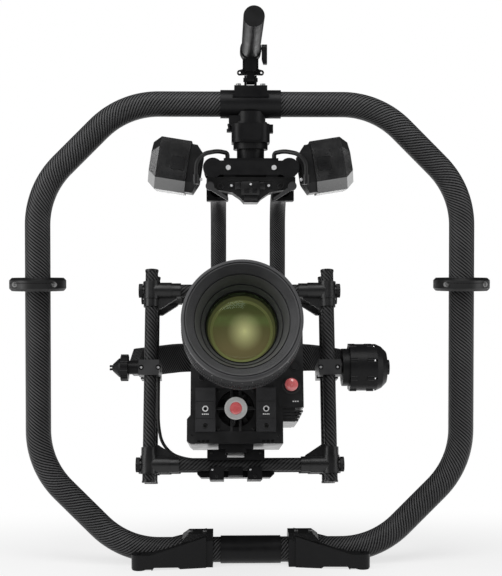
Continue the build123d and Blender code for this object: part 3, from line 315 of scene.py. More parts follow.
def carbon_flat(name, tow):
    """Carbon weave on a flat bar, laid out from the front in X and Z, mixed with its depth."""
    paint = Paint(name, Specular_IOR_Level=0.1)
    place = paint.node("ShaderNodeTexCoord")
    split = paint.node("ShaderNodeSeparateXYZ")
    paint.link(place.outputs["Object"], split.inputs[0])
    side = paint.math("SIGN", split.outputs["X"])
    along = paint.math("SUBTRACT", split.outputs["X"], paint.math("MULTIPLY", side, split.outputs["Y"]))
    along = paint.math("ADD", along, 10.0)
    across = paint.math("ADD", split.outputs["Z"], 10.0)
    over, height = twill(paint, along, across, tow, tow)
    return finish_carbon(paint, over, height)


BLACK_ANODISED = grained("black_anodised", (0.006, 0.006, 0.0065), (0.012, 0.012, 0.0125), 0.38, 2600,
                         0.00004, Specular_IOR_Level=0.12)
DARK_ANODISED = grained("dark_anodised", (0.030, 0.030, 0.031), (0.046, 0.046, 0.047), 0.38, 2600, 0.00004,
                        Specular_IOR_Level=0.2)
MOULDING = grained("black_moulding", (0.0045, 0.0045, 0.0048), (0.009, 0.009, 0.0094), 0.36, 1500, 0.00004,
                   Specular_IOR_Level=0.3)
BATTERY_SHELL = grained("battery_shell", (0.0035, 0.0035, 0.0037), (0.0075, 0.0075, 0.0079), 0.22, 1100,
                        0.00004, Specular_IOR_Level=1.0, Coat_Weight=1.0, Coat_IOR=1.6, Coat_Roughness=0.2)
RUBBER = grained("rubber_pad", (0.012, 0.012, 0.012), (0.02, 0.02, 0.02), 0.78, 900, 0.00012,
                Specular_IOR_Level=0.22)
LEAD_JACKET = grained("lead_jacket", (0.010, 0.010, 0.010), (0.017, 0.017, 0.017), 0.4, 700, 0.00006,
                     Specular_IOR_Level=0.22)
STEEL = grained("steel_screw", (0.80, 0.80, 0.81), (0.95, 0.95, 0.96), 0.32, 3000, 0.00002, 0.7)
DULL_STEEL = grained("dull_steel", (0.22, 0.22, 0.22), (0.36, 0.36, 0.36), 0.38, 3000, 0.00002, 0.8)
BLACK_STEEL = grained("black_steel", (0.02, 0.02, 0.02), (0.04, 0.04, 0.04), 0.35, 2500, 0.00003, 0.8)
MOTOR_CORE = grained("motor_core", (0.10, 0.05, 0.02), (0.25, 0.12, 0.05), 0.4, 900, 0.0001, 0.7)
CAMERA_SHELL = grained("camera_shell", (0.006, 0.006, 0.0064), (0.011, 0.011, 0.0115), 0.34, 2000, 0.00003,
                       Specular_IOR_Level=0.5)
PANEL_GREY = grained("panel_grey", (0.026, 0.026, 0.027), (0.038, 0.038, 0.040), 0.45, 2200, 0.00006,
                    Specular_IOR_Level=0.22)
LENS_BLACK = grained("lens_black", (0.068, 0.068, 0.070), (0.094, 0.094, 0.097), 0.45, 2600, 0.00005,
                     Specular_IOR_Level=0.12)
LENS_RING = grained("lens_ring", (0.012, 0.012, 0.013), (0.024, 0.024, 0.025), 0.45, 2600, 0.00005,
                    Specular_IOR_Level=0.12)
CARBON_TUBE = carbon_wrapped("carbon_tube", 0.00100, 0.0013)
CARBON_TUBE_FINE = carbon_wrapped("carbon_tube_fine", 0.00085, 0.0009)
# The cage's painted sheen is dimmed to 0.6.
CARBON_CAGE = carbon_wrapped("carbon_cage", 0.00125, 0.00118, 0.6)
CARBON_BAR = carbon_flat("carbon_bar", 0.00125)
RECORD_RED = grained("record_red", (0.80, 0.13, 0.135), (0.92, 0.22, 0.225),
                     0.3, 600, 0.00002, Coat_Weight=1.0)
# Near-black, darker than the other blacks: painted shade in the fan recess, the clamp holes, the vent slots and
# the gap round the glass, and the dark joint of the hand-stop seams.
JOINT_AND_PAINTED_SHADE_BLACK = grained("joint_and_painted_shade_black", (0.002, 0.002, 0.002), (0.004, 0.004, 0.004), 0.6, 1500, 0.00002,
                     Specular_IOR_Level=0.1)
GREY_MARK = grained("grey_mark", (0.20, 0.20, 0.20), (0.34, 0.34, 0.34), 0.5, 1500, 0.00002)
WHITE_MARK = grained("white_mark", (0.72, 0.72, 0.72), (0.85, 0.85, 0.85), 0.5, 1500, 0.00002)
GUARD_SILVER = grained("guard_silver", (0.62, 0.62, 0.61), (0.82, 0.82, 0.81), 0.34, 1800, 0.00004, 0.45)

FINISH_OF_SLOT = {
    "carbon_fibre": CARBON_TUBE, "black_anodised": BLACK_ANODISED, "steel_screw": STEEL,
    "black_steel": BLACK_STEEL, "motor_core": MOTOR_CORE, "rubber_pad": RUBBER, "black_moulding": MOULDING,
    "battery_shell": BATTERY_SHELL, "lead_jacket": LEAD_JACKET, "camera_shell": CAMERA_SHELL,
    "panel_grey": PANEL_GREY, "guard_silver": GUARD_SILVER,
    "record_red": RECORD_RED, "lens_black": LENS_BLACK,
}
FINISH_OF_NODE = {
    "yoke_bar": CARBON_BAR, "handle_tube": MOULDING, "tilt_motor_screws": STEEL,
    "frame_screws": DULL_STEEL,
    "control_unit": MOULDING, "tilt_clamps": DARK_ANODISED, "cover_clips": DARK_ANODISED,
}


def dress_cad_nodes():
    """Gives every carried-over CAD node its finish and softens its hard edges."""
    sharp = {"steel_screw": 0.00015, "black_steel": 0.0002}
    for part in frame["record"]["subparts"]:
        name, slot_name = part["node"], part["material_slot"]
        node = frame["nodes"][name]
        finish = FINISH_OF_NODE.get(name, FINISH_OF_SLOT.get(slot_name, BLACK_ANODISED))
        for place in node.material_slots:
            place.material = finish
        bevel = node.modifiers.new("soft_edges", "BEVEL")
        bevel.width = sharp.get(slot_name, 0.0005)
        bevel.segments = 2
        bevel.limit_method = "ANGLE"
        bevel.angle_limit = math.radians(38)
        bevel.harden_normals = False


dress_cad_nodes()


# ------------------------------------------------------------------ shapes
def new_object(name, verts, faces, material, map_values=None, crease=35):
    """Mesh object with shared smooth shading and, if given, its weave map in metres."""
    mesh = bpy.data.meshes.new(name)
    mesh.from_pydata([tuple(v) for v in verts], [], faces)
    mesh.materials.append(material)
    if map_values is not None:
        layer = mesh.uv_layers.new(name="weave")
        flat = [value for face in map_values for corner in face for value in corner]
        layer.data.foreach_set("uv", flat)
    mesh.validate()
    mesh.shade_smooth()
    mesh.set_sharp_from_angle(angle=math.radians(crease))
    made = bpy.data.objects.new(name, mesh)
    bpy.context.scene.collection.objects.link(made)
    return made


def rounded_path(corners, radius, step=math.radians(4)):
    """Points along straight runs joined by arcs, close together in the arcs."""
    points = [Vector(corners[0])]
    for before, corner, after in zip(corners, corners[1:], corners[2:]):
        corner = Vector(corner)
        first = (corner - Vector(before)).normalized()
        second = (Vector(after) - corner).normalized()
        turn = first.angle(second)
        reach = radius * math.tan(turn / 2)
        start = corner - first * reach
        inward = (second - first).normalized()
        centre = corner + inward * (radius / math.cos(turn / 2))
        spoke = start - centre
        axis = first.cross(second).normalized()
        count = max(2, round(turn / step))
        for index in range(count + 1):
            points.append(centre + Matrix.Rotation(turn * index / count, 3, axis) @ spoke)
    points.append(Vector(corners[-1]))
    return points


def hollow_tube(name, points, radius, wall, material, segments=56):
    """Open-ended tube along points, mapped in metres along and around."""
    points = [Vector(p) for p in points]
    tangents = []
    for index in range(len(points)):
        ahead = points[min(index + 1, len(points) - 1)] - points[max(index - 1, 0)]
        tangents.append(ahead.normalized())
    side = tangents[0].orthogonal().normalized()
    for helper in (Vector((0, 1, 0)), Vector((1, 0, 0))):
        if abs(tangents[0].dot(helper)) < 0.3:
            side = (helper - tangents[0] * tangents[0].dot(helper)).normalized()
            break
    verts, rings, along = [], [], 0.0
    for index, (point, tangent) in enumerate(zip(points, tangents)):
        if index:
            along += (point - points[index - 1]).length
            turn = tangents[index - 1].rotation_difference(tangent)
            side = turn @ side
        across = tangent.cross(side)
        rings.append(along)
        for r in (radius, radius - wall):
            for k in range(segments):
                angle = 2 * math.pi * k / segments
                verts.append(point + (side * math.cos(angle) + across * math.sin(angle)) * r)
    faces, maps = [], []
    width = 2 * segments
    around = 2 * math.pi * radius
    for index in range(len(points) - 1):
        a, b = index * width, (index + 1) * width
        u0, u1 = rings[index], rings[index + 1]
        for k in range(segments):
            n = (k + 1) % segments
            v0, v1 = around * k / segments, around * (k + 1) / segments
            faces.append((a + k, a + n, b + n, b + k))
            maps.append(((u0, v0), (u0, v1), (u1, v1), (u1, v0)))
            faces.append((a + segments + k, b + segments + k, b + segments + n, a + segments + n))
            maps.append(((u0, v0), (u1, v0), (u1, v1), (u0, v1)))
    for base, flip in ((0, True), ((len(points) - 1) * width, False)):
        for k in range(segments):
            n = (k + 1) % segments
            ring = (base + k, base + n, base + segments + n, base + segments + k)
            faces.append(ring[::-1] if not flip else ring)
            maps.append(((0, 0), (0, 0), (0, 0), (0, 0)))
    return new_object(name, verts, faces, material, maps)


def lathe(name, profile, material, frame_matrix, segments=180, wave=None, crease=30):
    """Closed profile of (radius, distance along) in millimetres, turned about frame_matrix's Z axis."""
    verts, faces = [], []
    count = len(profile)
    for k in range(segments):
        angle = 2 * math.pi * k / segments
        for index, (radius, along) in enumerate(profile):
            r = radius + (wave(index, k) if wave else 0.0)
            point = Vector((r * math.cos(angle), r * math.sin(angle), along)) * MM
            verts.append(frame_matrix @ point)
    for k in range(segments):
        a, b = k * count, ((k + 1) % segments) * count
        for index in range(count):
            n = (index + 1) % count
            if profile[index][0] == 0 and profile[n][0] == 0:
                continue
            faces.append((a + index, b + index, b + n, a + n))
    made = new_object(name, verts, faces, material, crease=crease)
    clean = made.modifiers.new("weld_axis", "WELD")
    clean.merge_threshold = 0.000001
    return made


def block(name, low, high, material, place=None, round_off=0.4):
    """Box from low to high in millimetres with rounded edges, placed by a matrix."""
    place = place or Matrix.Identity(4)
    verts = [place @ (Vector((x, y, z)) * MM) for x in (low[0], high[0]) for y in (low[1], high[1])
             for z in (low[2], high[2])]
    faces = [(0, 1, 3, 2), (4, 6, 7, 5), (0, 4, 5, 1), (2, 3, 7, 6), (0, 2, 6, 4), (1, 5, 7, 3)]
    made = new_object(name, verts, faces, material)
    soft = made.modifiers.new("rounded", "BEVEL")
    soft.width = round_off * MM
    soft.segments = 2
    return made


def joined(name, pieces):
    """Several mesh objects made into one, modifiers applied."""
    bpy.context.view_layer.update()
    graph = bpy.context.evaluated_depsgraph_get()
    verts, faces, materials, indices = [], [], [], []
    for piece in pieces:
        mesh = piece.evaluated_get(graph).to_mesh()
        start = len(verts)
        verts += [piece.matrix_world @ v.co for v in mesh.vertices]
        for polygon in mesh.polygons:
            faces.append([start + v for v in polygon.vertices])
            material = piece.data.materials[polygon.material_index]
            if material not in materials:
                materials.append(material)
            indices.append(materials.index(material))
        piece.evaluated_get(graph).to_mesh_clear()
    made = new_object(name, verts, faces, materials[0])
    for material in materials[1:]:
        made.data.materials.append(material)
    if len(made.data.polygons) == len(indices):
        made.data.polygons.foreach_set("material_index", indices)
    for piece in pieces:
        bpy.data.objects.remove(piece)
    return made


def spin_frame(origin, direction):
    """Matrix with its origin at a point and its Z axis along direction."""
    direction = Vector(direction).normalized()
    turn = direction.to_track_quat("Z", "Y")
    return Matrix.Translation(Vector(origin)) @ turn.to_matrix().to_4x4()


# ------------------------------------------------------------------ carbon tubes
def make_ring_tubes():
    low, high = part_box("ring_tube_right")
    radius = 15 * MM
    side = high[0] - radius
    bottom, top = low[2] + radius, high[2] - radius
    knee, bend = 102.5 * MM, 101 * MM
    for sign, name in ((-1, "ring_tube_left"), (1, "ring_tube_right")):
        corners = [(0.25 * MM, bottom), (side - knee, bottom), (side, bottom + knee), (side, top - knee),
                   (side - knee, top), (0.25 * MM, top)]
        path = rounded_path([Vector((sign * x, 0, z)) for x, z in corners], bend, math.radians(2.5))
        tube = hollow_tube("wrapped_" + name, path, radius, 2 * MM, CARBON_TUBE, 72)
        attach(tube, "ring_frame")
        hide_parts(name)


def make_pan_tubes():
    low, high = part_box("pan_tubes")
    radius, bend = 10.5 * MM, 40 * MM
    tubes = []
    for sign in (-1, 1):
        x = sign * (high[0] - radius)
        corners = [(x, low[1], high[2] - radius), (x, high[1] - radius, high[2] - radius),
                   (x, high[1] - radius, low[2])]
        tubes.append(hollow_tube(f"pan_tube_{sign}", rounded_path([Vector(c) for c in corners], bend),
                                 radius, 1.8 * MM, CARBON_TUBE_FINE, 56))
    for tube, side in zip(tubes, ("left", "right")):
        tube.name = "wrapped_pan_tube_" + side
        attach(tube, "pan_arm")
    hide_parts("pan_tubes")


UPRIGHT_XS = (-118.5, 92.5)
CAGE_ROWS = (-20.0, 20.0)


def make_cage_tubes():
    radius = 7.5
    first = None
    for row, y in zip(("front", "rear"), CAGE_ROWS):
        for side, x in zip(("left", "right"), UPRIGHT_XS):
            path = [local(x, y, -134), local(x, y, 113)]
            tube = hollow_tube(f"wrapped_upright_{row}_{side}", path, radius * MM, 1.5 * MM, CARBON_CAGE)
            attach(tube, "camera_cage")
            first = first or tube
        for level, z in (("top", 90), ("bottom", -116)):
            path = [local(UPRIGHT_XS[0] + 8.2, y, z), local(UPRIGHT_XS[1] - 8.2, y, z)]
            tube = hollow_tube(f"wrapped_crossbar_{row}_{level}", path, radius * MM, 1.5 * MM, CARBON_CAGE)
            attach(tube, "camera_cage")
    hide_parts("cage_tubes")


make_ring_tubes()
make_pan_tubes()
make_cage_tubes()


# ------------------------------------------------------------------ lens
LENS_X, LENS_Z = -12.5, 18.6
LENS_FRAME = spin_frame(local(LENS_X, 0, LENS_Z), LENS_DIRECTION)
FRONT_L = 220.0


def grooved(start, end, count, depth):
    """Points of a fine saw-tooth between two (radius, along) points."""
    points = []
    for index in range(count):
        for part, dip in ((0.0, 0.0), (0.62, 0.0), (0.7, depth), (0.94, depth)):
            t = (index + part) / count
            points.append((start[0] + (end[0] - start[0]) * t, start[1] + (end[1] - start[1]) * t - dip))
    points.append(end)
    return points


def make_lens_barrel():
    front = FRONT_L
    profile = [(26, 48), (37, 48), (37, 57), (33.5, 59), (33.5, 65), (43, 69), (46, 84), (52, 92), (56, 97),
               (57, 98), (57, 105.75), (52, 105.75), (52, 126.25), (58.5, 126.25), (60.8, 133), (61.5, 134.2),
               (61.5, 138), (61.1, 138.4), (61.1, 139.6), (61.5, 140),
               (61.5, 149.75), (57, 149.75), (57, 194.25),
               (58.2, 194.25), (58.2, 201), (61.2, 203.5),
               (61.9, 204.5), (61.9, front - 3.2), (61.5, front - 2.2),
               (60.6, front - 1.0), (59.4, front), (58.6, front), (58.3, front - 2.4), (57.7, front - 2.4),
               (57.5, front - 0.2), (56.6, front - 0.4)]
    profile += grooved((56.4, front - 1.2), (49.2, front - 11.2), 9, 0.35)
    profile += [(49.0, front - 14.4), (48.4, front - 14.4), (48.2, front - 12.4)]
    profile += [(43.2, front - 34), (43.0, front - 37.2), (42.4, front - 37.2), (42.2, front - 34.8)]
    profile += [(41.2, front - 38.5), (38.7, front - 45.6), (38.4, front - 51.0), (37.5, front - 51.0),
                (37.4, front - 52), (36.0, front - 56), (35.6, front - 76), (35.6, front - 88), (50, 122),
                (48, 104), (38, 88), (26, 70)]
    barrel = lathe("lens_barrel_turned", profile, LENS_BLACK, LENS_FRAME, 220)
    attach(barrel, "camera")
    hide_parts("lens_barrel")


def toothed_ring(name, profile, toothed, teeth, depth, body, node):
    """Ring on the lens whose listed profile points are cut into teeth."""
    def wave(index, k):
        return -depth * (0.0, 0.15, 1.0, 0.85)[k % 4] if index in toothed else 0.0
    ring = lathe(name, profile, LENS_RING, LENS_FRAME, teeth * 4, wave, 25)
    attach(ring, body)
    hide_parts(node)
    return ring


def make_lens_rings():
    focus = [(57.05, 150), (63.0, 150), (64.0, 151), (64.0, 165), (63.0, 166), (61.6, 166.4), (61.6, 169.5),
             (62.9, 170), (63.4, 170.5), (63.4, 182), (62.9, 182.8), (62.6, 183.2), (60.0, 193.2),
             (59.4, 194), (57.05, 194)]
    toothed_ring("focus_ring_geared", focus, (2, 3, 8, 9), 170,
                 1.1, "focus_wheel", "focus_ring")
    iris = [(52.05, 106), (57.6, 106), (58.5, 106.8), (58.5, 125.2), (57.6, 126), (52.05, 126)]
    toothed_ring("iris_ring_geared", iris, (2, 3), 140, 1.0, "iris_wheel", "iris_ring")
    ticks = []
    for step in range(36):
        angle = math.radians(10 * step)
        length, half = (3.0, 0.4) if step % 4 == 0 else (1.6, 0.25)
        place = LENS_FRAME @ Matrix.Rotation(angle, 4, "Z")
        place = place @ Matrix.Translation(Vector((61.3, 0, 188.2)) * MM)
        place = place @ Matrix.Rotation(math.radians(-14.6), 4, "Y")
        ticks.append(block(f"tick_{step}", (-0.1, -half, -length / 2), (0.28, half, length / 2), GREY_MARK,
                           place, 0.05))
    marks = joined("focus_scale_marks", ticks)
    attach(marks, "focus_wheel")


def lens_place(paint):
    """Object-space position turned into the lens frame: X across, Y up the front, Z along, in metres."""
    place = paint.node("ShaderNodeTexCoord")
    shift = paint.node("ShaderNodeVectorMath", operation="SUBTRACT")
    shift.inputs[1].default_value = LENS_FRAME.translation
    turn = paint.node("ShaderNodeVectorRotate", rotation_type="X_AXIS")
    turn.inputs["Angle"].default_value = REST_PITCH
    split = paint.node("ShaderNodeSeparateXYZ")
    paint.link(place.outputs["Object"], shift.inputs[0])
    paint.link(shift.outputs[0], turn.inputs["Vector"])
    paint.link(turn.outputs[0], split.inputs[0])
    return split.outputs["X"], split.outputs["Z"]


def disc_distance(paint, across, up, centre_x=0.0, centre_up=0.0, squeeze=1.0):
    """Distance in metres from a point on the lens axis plane."""
    x = paint.math("SUBTRACT", across, centre_x)
    z = paint.math("MULTIPLY", paint.math("SUBTRACT", up, centre_up), squeeze)
    return paint.math("SQRT", paint.math("ADD", paint.math("MULTIPLY", x, x), paint.math("MULTIPLY", z, z)))


def coated_interior_painted_reflections():
    """Coated inner elements: an olive edge and a paler ring, with painted reflection lighter and tan below and
    darker olive towards the top, a green band above, a warm painted highlight in the middle, and a painted glow
    from emission.
    """
    paint = Paint("coated_glass", Roughness=0.45, Specular_IOR_Level=0.15)
    across, up = lens_place(paint)
    radius = disc_distance(paint, across, up)
    # Distance from the centre of the painted highlight, a little off the axis.
    glow = disc_distance(paint, across, up, 0.0035, -0.001, 0.9)
    # Painted reflection: lighter and tan below, darker and olive towards the top.
    base = paint.blend(paint.between(up, 0.0, 1.0, -0.02, 0.026), (0.235, 0.19, 0.105), (0.115, 0.135, 0.052))
    # Painted reflection: a green band across the upper part, broken up by noise.
    painted_green_reflection = paint.math("MULTIPLY", paint.between(up, 0.0, 1.0, 0.003, 0.009),
                       paint.between(up, 1.0, 0.0, 0.014, 0.0185))
    wobble = paint.noise(160.0, 2.0)
    painted_green_reflection = paint.math("MULTIPLY", painted_green_reflection, paint.between(wobble, 0.5, 1.0))
    base = paint.blend(painted_green_reflection, base, (0.185, 0.235, 0.092))
    # Painted highlight: a warm glow round its centre.
    painted_warm_highlight = paint.between(glow, 1.0, 0.0, 0.000, 0.020)
    painted_warm_highlight = paint.math("POWER", painted_warm_highlight, 1.3)
    base = paint.blend(painted_warm_highlight, base, (0.96, 0.92, 0.52))
    ring = paint.math("MULTIPLY", paint.between(radius, 0.0, 1.0, 0.0306, 0.0312),
                      paint.between(radius, 1.0, 0.0, 0.0334, 0.0340))
    base = paint.blend(ring, base, (0.215, 0.225, 0.098))
    outside = paint.between(radius, 0.0, 1.0, 0.0334, 0.0342)
    base = paint.blend(outside, base, (0.115, 0.118, 0.056))
    paint.colour(base)
    # Painted glow: the colour is also emitted, so the dish glows though it is no lamp.
    paint.link(base, paint.surface.inputs["Emission Color"])
    paint.surface.inputs["Emission Strength"].default_value = 0.34
    paint.bump(wobble, 0.00002)
    return paint.material


def clear_cover():
    """Clear front element: lets the coating through and adds a soft sheen."""
    paint = Paint("clear_glass")
    clear = paint.node("ShaderNodeBsdfTransparent")
    clear.inputs["Color"].default_value = (0.93, 0.95, 0.88, 1)
    sheen = paint.node("ShaderNodeBsdfGlossy")
    sheen.inputs["Color"].default_value = (0.75, 0.95, 0.70, 1)
    sheen.inputs["Roughness"].default_value = 0.03
    mix = paint.node("ShaderNodeMixShader")
    edge = paint.node("ShaderNodeFresnel")
    edge.inputs["IOR"].default_value = 1.25
    paint.link(edge.outputs[0], mix.inputs["Fac"])
    paint.link(clear.outputs[0], mix.inputs[1])
    paint.link(sheen.outputs[0], mix.inputs[2])
    paint.link(mix.outputs[0], paint.tree.nodes["Material Output"].inputs["Surface"])
    return paint.material


def dome(radius, centre, rise, first, step=6):
    """Points of a shallow dome's section from its rim to just short of the axis."""
    angles = [math.radians(a) for a in range(first, 90, step)]
    return [(radius * math.cos(a), centre + rise * math.sin(a)) for a in angles]


def make_glass():
    front = FRONT_L
    # Near-black ring round the glass: painted shade of the gap between the barrel and the glass.
    seat = [(37.3, front - 46.2), (38.7, front - 45.9), (38.7, front - 53), (37.3, front - 53)]
    seat = lathe("glass_retainer", seat, JOINT_AND_PAINTED_SHADE_BLACK, LENS_FRAME, 128, crease=40)
    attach(seat, "camera")
    cover = [(0, front - 53.5), (20, front - 53.6), (37.2, front - 54), (37.2, front - 51)]
    cover += dome(37.2, front - 51, 5, 12)
    cover += [(0, front - 46)]
    cover = lathe("front_element", cover, clear_cover(), LENS_FRAME, 128, crease=40)
    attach(cover, "camera")
    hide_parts("front_glass")
    inner = [(0, front - 88), (35.2, front - 88), (37.1, front - 54.2),
             (34.4, front - 72), (31.2, front - 73.2)]
    inner += dome(31, front - 74.5, 7, 0)
    inner += [(0, front - 67.5)]
    dish = lathe("inner_elements", inner, coated_interior_painted_reflections(), LENS_FRAME, 128, crease=40)
    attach(dish, "camera")


make_lens_barrel()
make_lens_rings()
make_glass()


# ------------------------------------------------------------------ camera front
FAN = (-18.0, -54.0)
PANEL_XS = (-52.9, 16.7)
FRONT_Y = -48.0


def turned_part(name, origin, direction, profile, material, segments=64, crease=30):
    """Lathe about a direction from a point given in the cage's own millimetres."""
    turn = spin_frame(local(*origin), (PITCHED.to_3x3() @ Vector(direction)).normalized())
    return lathe(name, profile, material, turn, segments, crease=crease)


def make_fan_guard():
    fx, fz = FAN
    near, far = FRONT_Y + 0.2, FRONT_Y + 2
    spans = {"across": ((-41, 5), (fz - 1.4, fz + 1.4)), "left": ((fx - 6.4, fx - 3.6), (-80, -30.5)),
             "right": ((fx + 3.6, fx + 6.4), (-80, -30.5))}
    struts = [block("strut_" + side, (xs[0], near, zs[0]), (xs[1], far, zs[1]), MOULDING, PITCHED, 0.3)
              for side, (xs, zs) in spans.items()]
    struts += [
        turned_part("guard_back", (fx, FRONT_Y + 2, fz), (0, -1, 0),
                    [(0, 0), (12.4, 0), (12.4, 2.6), (0, 2.6)], MOULDING),
    ]
    guard = joined("fan_guard_struts", struts)
    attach(guard, "camera")
    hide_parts("fan_guard")
    ring = turned_part("guard_ring", (fx, FRONT_Y, fz), (0, -1, 0),
                       [(7.2, 0.4), (13.0, 0.4), (13.0, 2.4), (12.6, 2.9),
                        (11.9, 3.0), (11.7, 2.8), (11.3, 2.8),
                        (11.1, 3.0), (8.6, 3.0), (8.4, 2.8), (8.0, 2.8), (7.8, 3.0), (7.4, 2.9), (7.2, 2.4)],
                       GUARD_SILVER, 96)
    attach(ring, "camera")
    disc = turned_part("guard_disc", (fx, FRONT_Y, fz), (0, -1, 0),
                       [(0, 0.4), (7.15, 0.4), (7.15, 2.0), (6.9, 2.3), (4, 2.55), (0, 2.6)],
                       RECORD_RED, 64, 50)
    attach(disc, "camera")


def make_front_marks():
    """White rings, screws and small bars on the grey panels, and a collar round the record button."""
    parts = []
    for x in PANEL_XS:
        parts.append(turned_part("mark_ring", (x, FRONT_Y - 2.9, -54.5), (0, -1, 0),
                                 [(2.15, 0), (3.5, 0), (3.5, 0.35), (2.15, 0.35)], WHITE_MARK, 40))
        for step in range(4):
            left = x - 3.9 + 2.1 * step
            parts.append(block("mark_bar", (left, FRONT_Y - 3.25, -61.4), (left + 1.5, FRONT_Y - 2.9, -60.0),
                               WHITE_MARK, PITCHED, 0.05))
    for step in range(3):
        left = 47.2 + 2.6 * step
        parts.append(block("mark_bar", (left, FRONT_Y - 0.35, -46.6), (left + 1.8, FRONT_Y + 0.05, -45.4),
                           WHITE_MARK, PITCHED, 0.05))
    marks = joined("panel_marks", parts)
    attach(marks, "camera")
    holes = []
    for x in PANEL_XS:
        holes.append(turned_part("screw_seat", (x, FRONT_Y - 1.2, -74), (0, -1, 0),
                                 [(0, 0), (3.1, 0), (3.1, 1.5), (2.6, 1.9), (1.7, 1.9), (1.4, 0.7), (0, 0.7)],
                                 BLACK_STEEL, 32))
    seats = joined("panel_screws", holes)
    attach(seats, "camera")
    collar = turned_part("button_collar", (46, FRONT_Y + 0.5, -27), (0, -1, 0),
                         [(7.8, 0), (10.6, 0), (10.6, 0.9), (10.1, 1.3), (8.3, 1.3), (7.8, 0.8)],
                         MOULDING, 64)
    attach(collar, "camera")
    sockets = []
    for x, z, r in ((50, -5, 4.0), (-56.5, -17.5, 3.4)):
        sockets.append(turned_part("socket", (x, FRONT_Y + 0.5, z), (0, -1, 0),
                                   [(0, 0), (r + 1.2, 0), (r + 1.2, 1.6), (r + 0.8, 2.0), (r - 0.4, 2.0),
                                    (r - 0.8, 0.8), (0, 0.8)], MOULDING, 40))
    small = joined("front_sockets", sockets)
    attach(small, "camera")


def make_fan_shroud():
    """Square black frame with a round mouth set into the recess round the fan."""
    fx, fz = FAN
    mouth, count = 21.4, 72
    half_width, above, below = 22.8, 23.4, 25.8
    verts, faces = [], []
    for y in (FRONT_Y + 0.8, FRONT_Y + 3.2):
        for k in range(count):
            angle = 2 * math.pi * k / count
            c, d = math.cos(angle), math.sin(angle)
            reach = min((half_width / abs(c)) if abs(c) > 1e-6 else 1e9,
                        ((above if d > 0 else below) / abs(d)) if abs(d) > 1e-6 else 1e9)
            verts.append(local(fx + c * mouth, y, fz + d * mouth))
            verts.append(local(fx + c * reach, y, fz + d * reach))
    for k in range(count):
        a, b, c = 2 * k, 2 * ((k + 1) % count), 2 * count
        faces += [(a, b, b + 1, a + 1), (a + c, a + 1 + c, b + 1 + c, b + c), (a, a + c, b + c, b),
                  (a + 1, b + 1, b + 1 + c, a + 1 + c)]
    shroud = new_object("fan_shroud", verts, faces, MOULDING)
    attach(shroud, "camera")
    # Floor and wall of the fan recess, painted near-black as the shade deep inside it.
    floor = turned_part("fan_well", (fx, FRONT_Y + 16.4, fz), (0, -1, 0),
                        [(2.4, 0), (21.4, 0), (21.4, 12.5), (20.6, 12.5), (20.6, 0.8), (2.4, 0.8)],
                        JOINT_AND_PAINTED_SHADE_BLACK, 72)
    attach(floor, "camera")
    screws = []
    for sx, sz in ((-20, -23), (20, -23), (-20, 20.6), (20, 20.6)):
        screws.append(turned_part("shroud_screw", (fx + sx, FRONT_Y + 0.8, fz + sz), (0, -1, 0),
                                  [(0, 0), (1.7, 0), (1.7, 0.7), (1.4, 1.0),
                                   (0.8, 1.0), (0.7, 0.4), (0, 0.4)],
                                  BLACK_STEEL, 24))
    fixings = joined("shroud_screws", screws)
    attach(fixings, "camera")


def socket_head(name, origin, direction, radius, material, pitched=True):
    """Small socket-head screw: a low cylinder with a rounded rim and a recess."""
    profile = [(0, -0.6), (radius, -0.6), (radius, 0.5), (radius - 0.3, 0.8), (0.5 * radius, 0.8),
               (0.45 * radius, 0.1), (0, 0.1)]
    if pitched:
        return turned_part(name, origin, direction, profile, material, 32)
    return lathe(name, profile, material, spin_frame(Vector(origin) * MM, direction), 32)


def make_hub_details():
    """Screws in the shoes and the control unit, and the stepped block and sockets on the unit's front."""
    heads = []
    for x, y, z, radius in ((-58.5, -33.4, 458.8, 1.9), (58.5, -33.4, 458.8, 1.9), (-58.5, -33.4, 484.4, 1.5),
                            (58.5, -33.4, 484.4, 1.5), (-23.0, -31.4, 451.8, 1.5), (20.8, -31.4, 451.8, 1.5),
                            (-0.5, -34.4, 453.2, 1.3)):
        heads.append(socket_head("head", (x, y, z), (0, -1, 0), radius, STEEL, False))
    heads = joined("hub_screw_heads", heads)
    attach(heads, "pan_arm")
    front = -29.0
    steps = [
        block("step", (-11.5, front - 4.6, 440.5), (10, front + 0.5, 456.5), MOULDING, None, 0.8),
        block("step", (-8.0, front - 3.0, 434.2), (7.6, front + 0.5, 441), MOULDING, None, 0.6),
        block("step", (-19, front - 2.2, 447.2), (-11, front + 0.5, 456.0), MOULDING, None, 0.8),
        block("step", (9.5, front - 2.2, 447.2), (17, front + 0.5, 456.0), MOULDING, None, 0.8),
        block("step", (-26.5, front - 1.6, 448.6), (-19.6, front + 0.5, 455.0), BLACK_ANODISED, None, 0.6),
        block("step", (17.5, front - 1.6, 448.6), (24.5, front + 0.5, 455.0), BLACK_ANODISED, None, 0.6),
        block("step", (-8.0, front - 5.2, 443.0), (-2.0, front - 4.0, 449.0), BLACK_ANODISED, None, 0.3),
        block("step", (1.5, front - 5.2, 443.0), (7.0, front - 4.0, 449.0), BLACK_ANODISED, None, 0.3),
    ]
    for x in (-36.0, 35.0):
        rim = [(2.0, -0.5), (4.0, -0.5), (4.0, 2.2), (3.6, 2.6), (2.6, 2.6), (2.2, 1.2)]
        place = spin_frame(Vector((x, front, 451.5)) * MM, (0, -1, 0))
        steps.append(lathe("socket", rim, MOULDING, place, 40))
    steps = joined("control_unit_front", steps)
    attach(steps, "pan_arm")


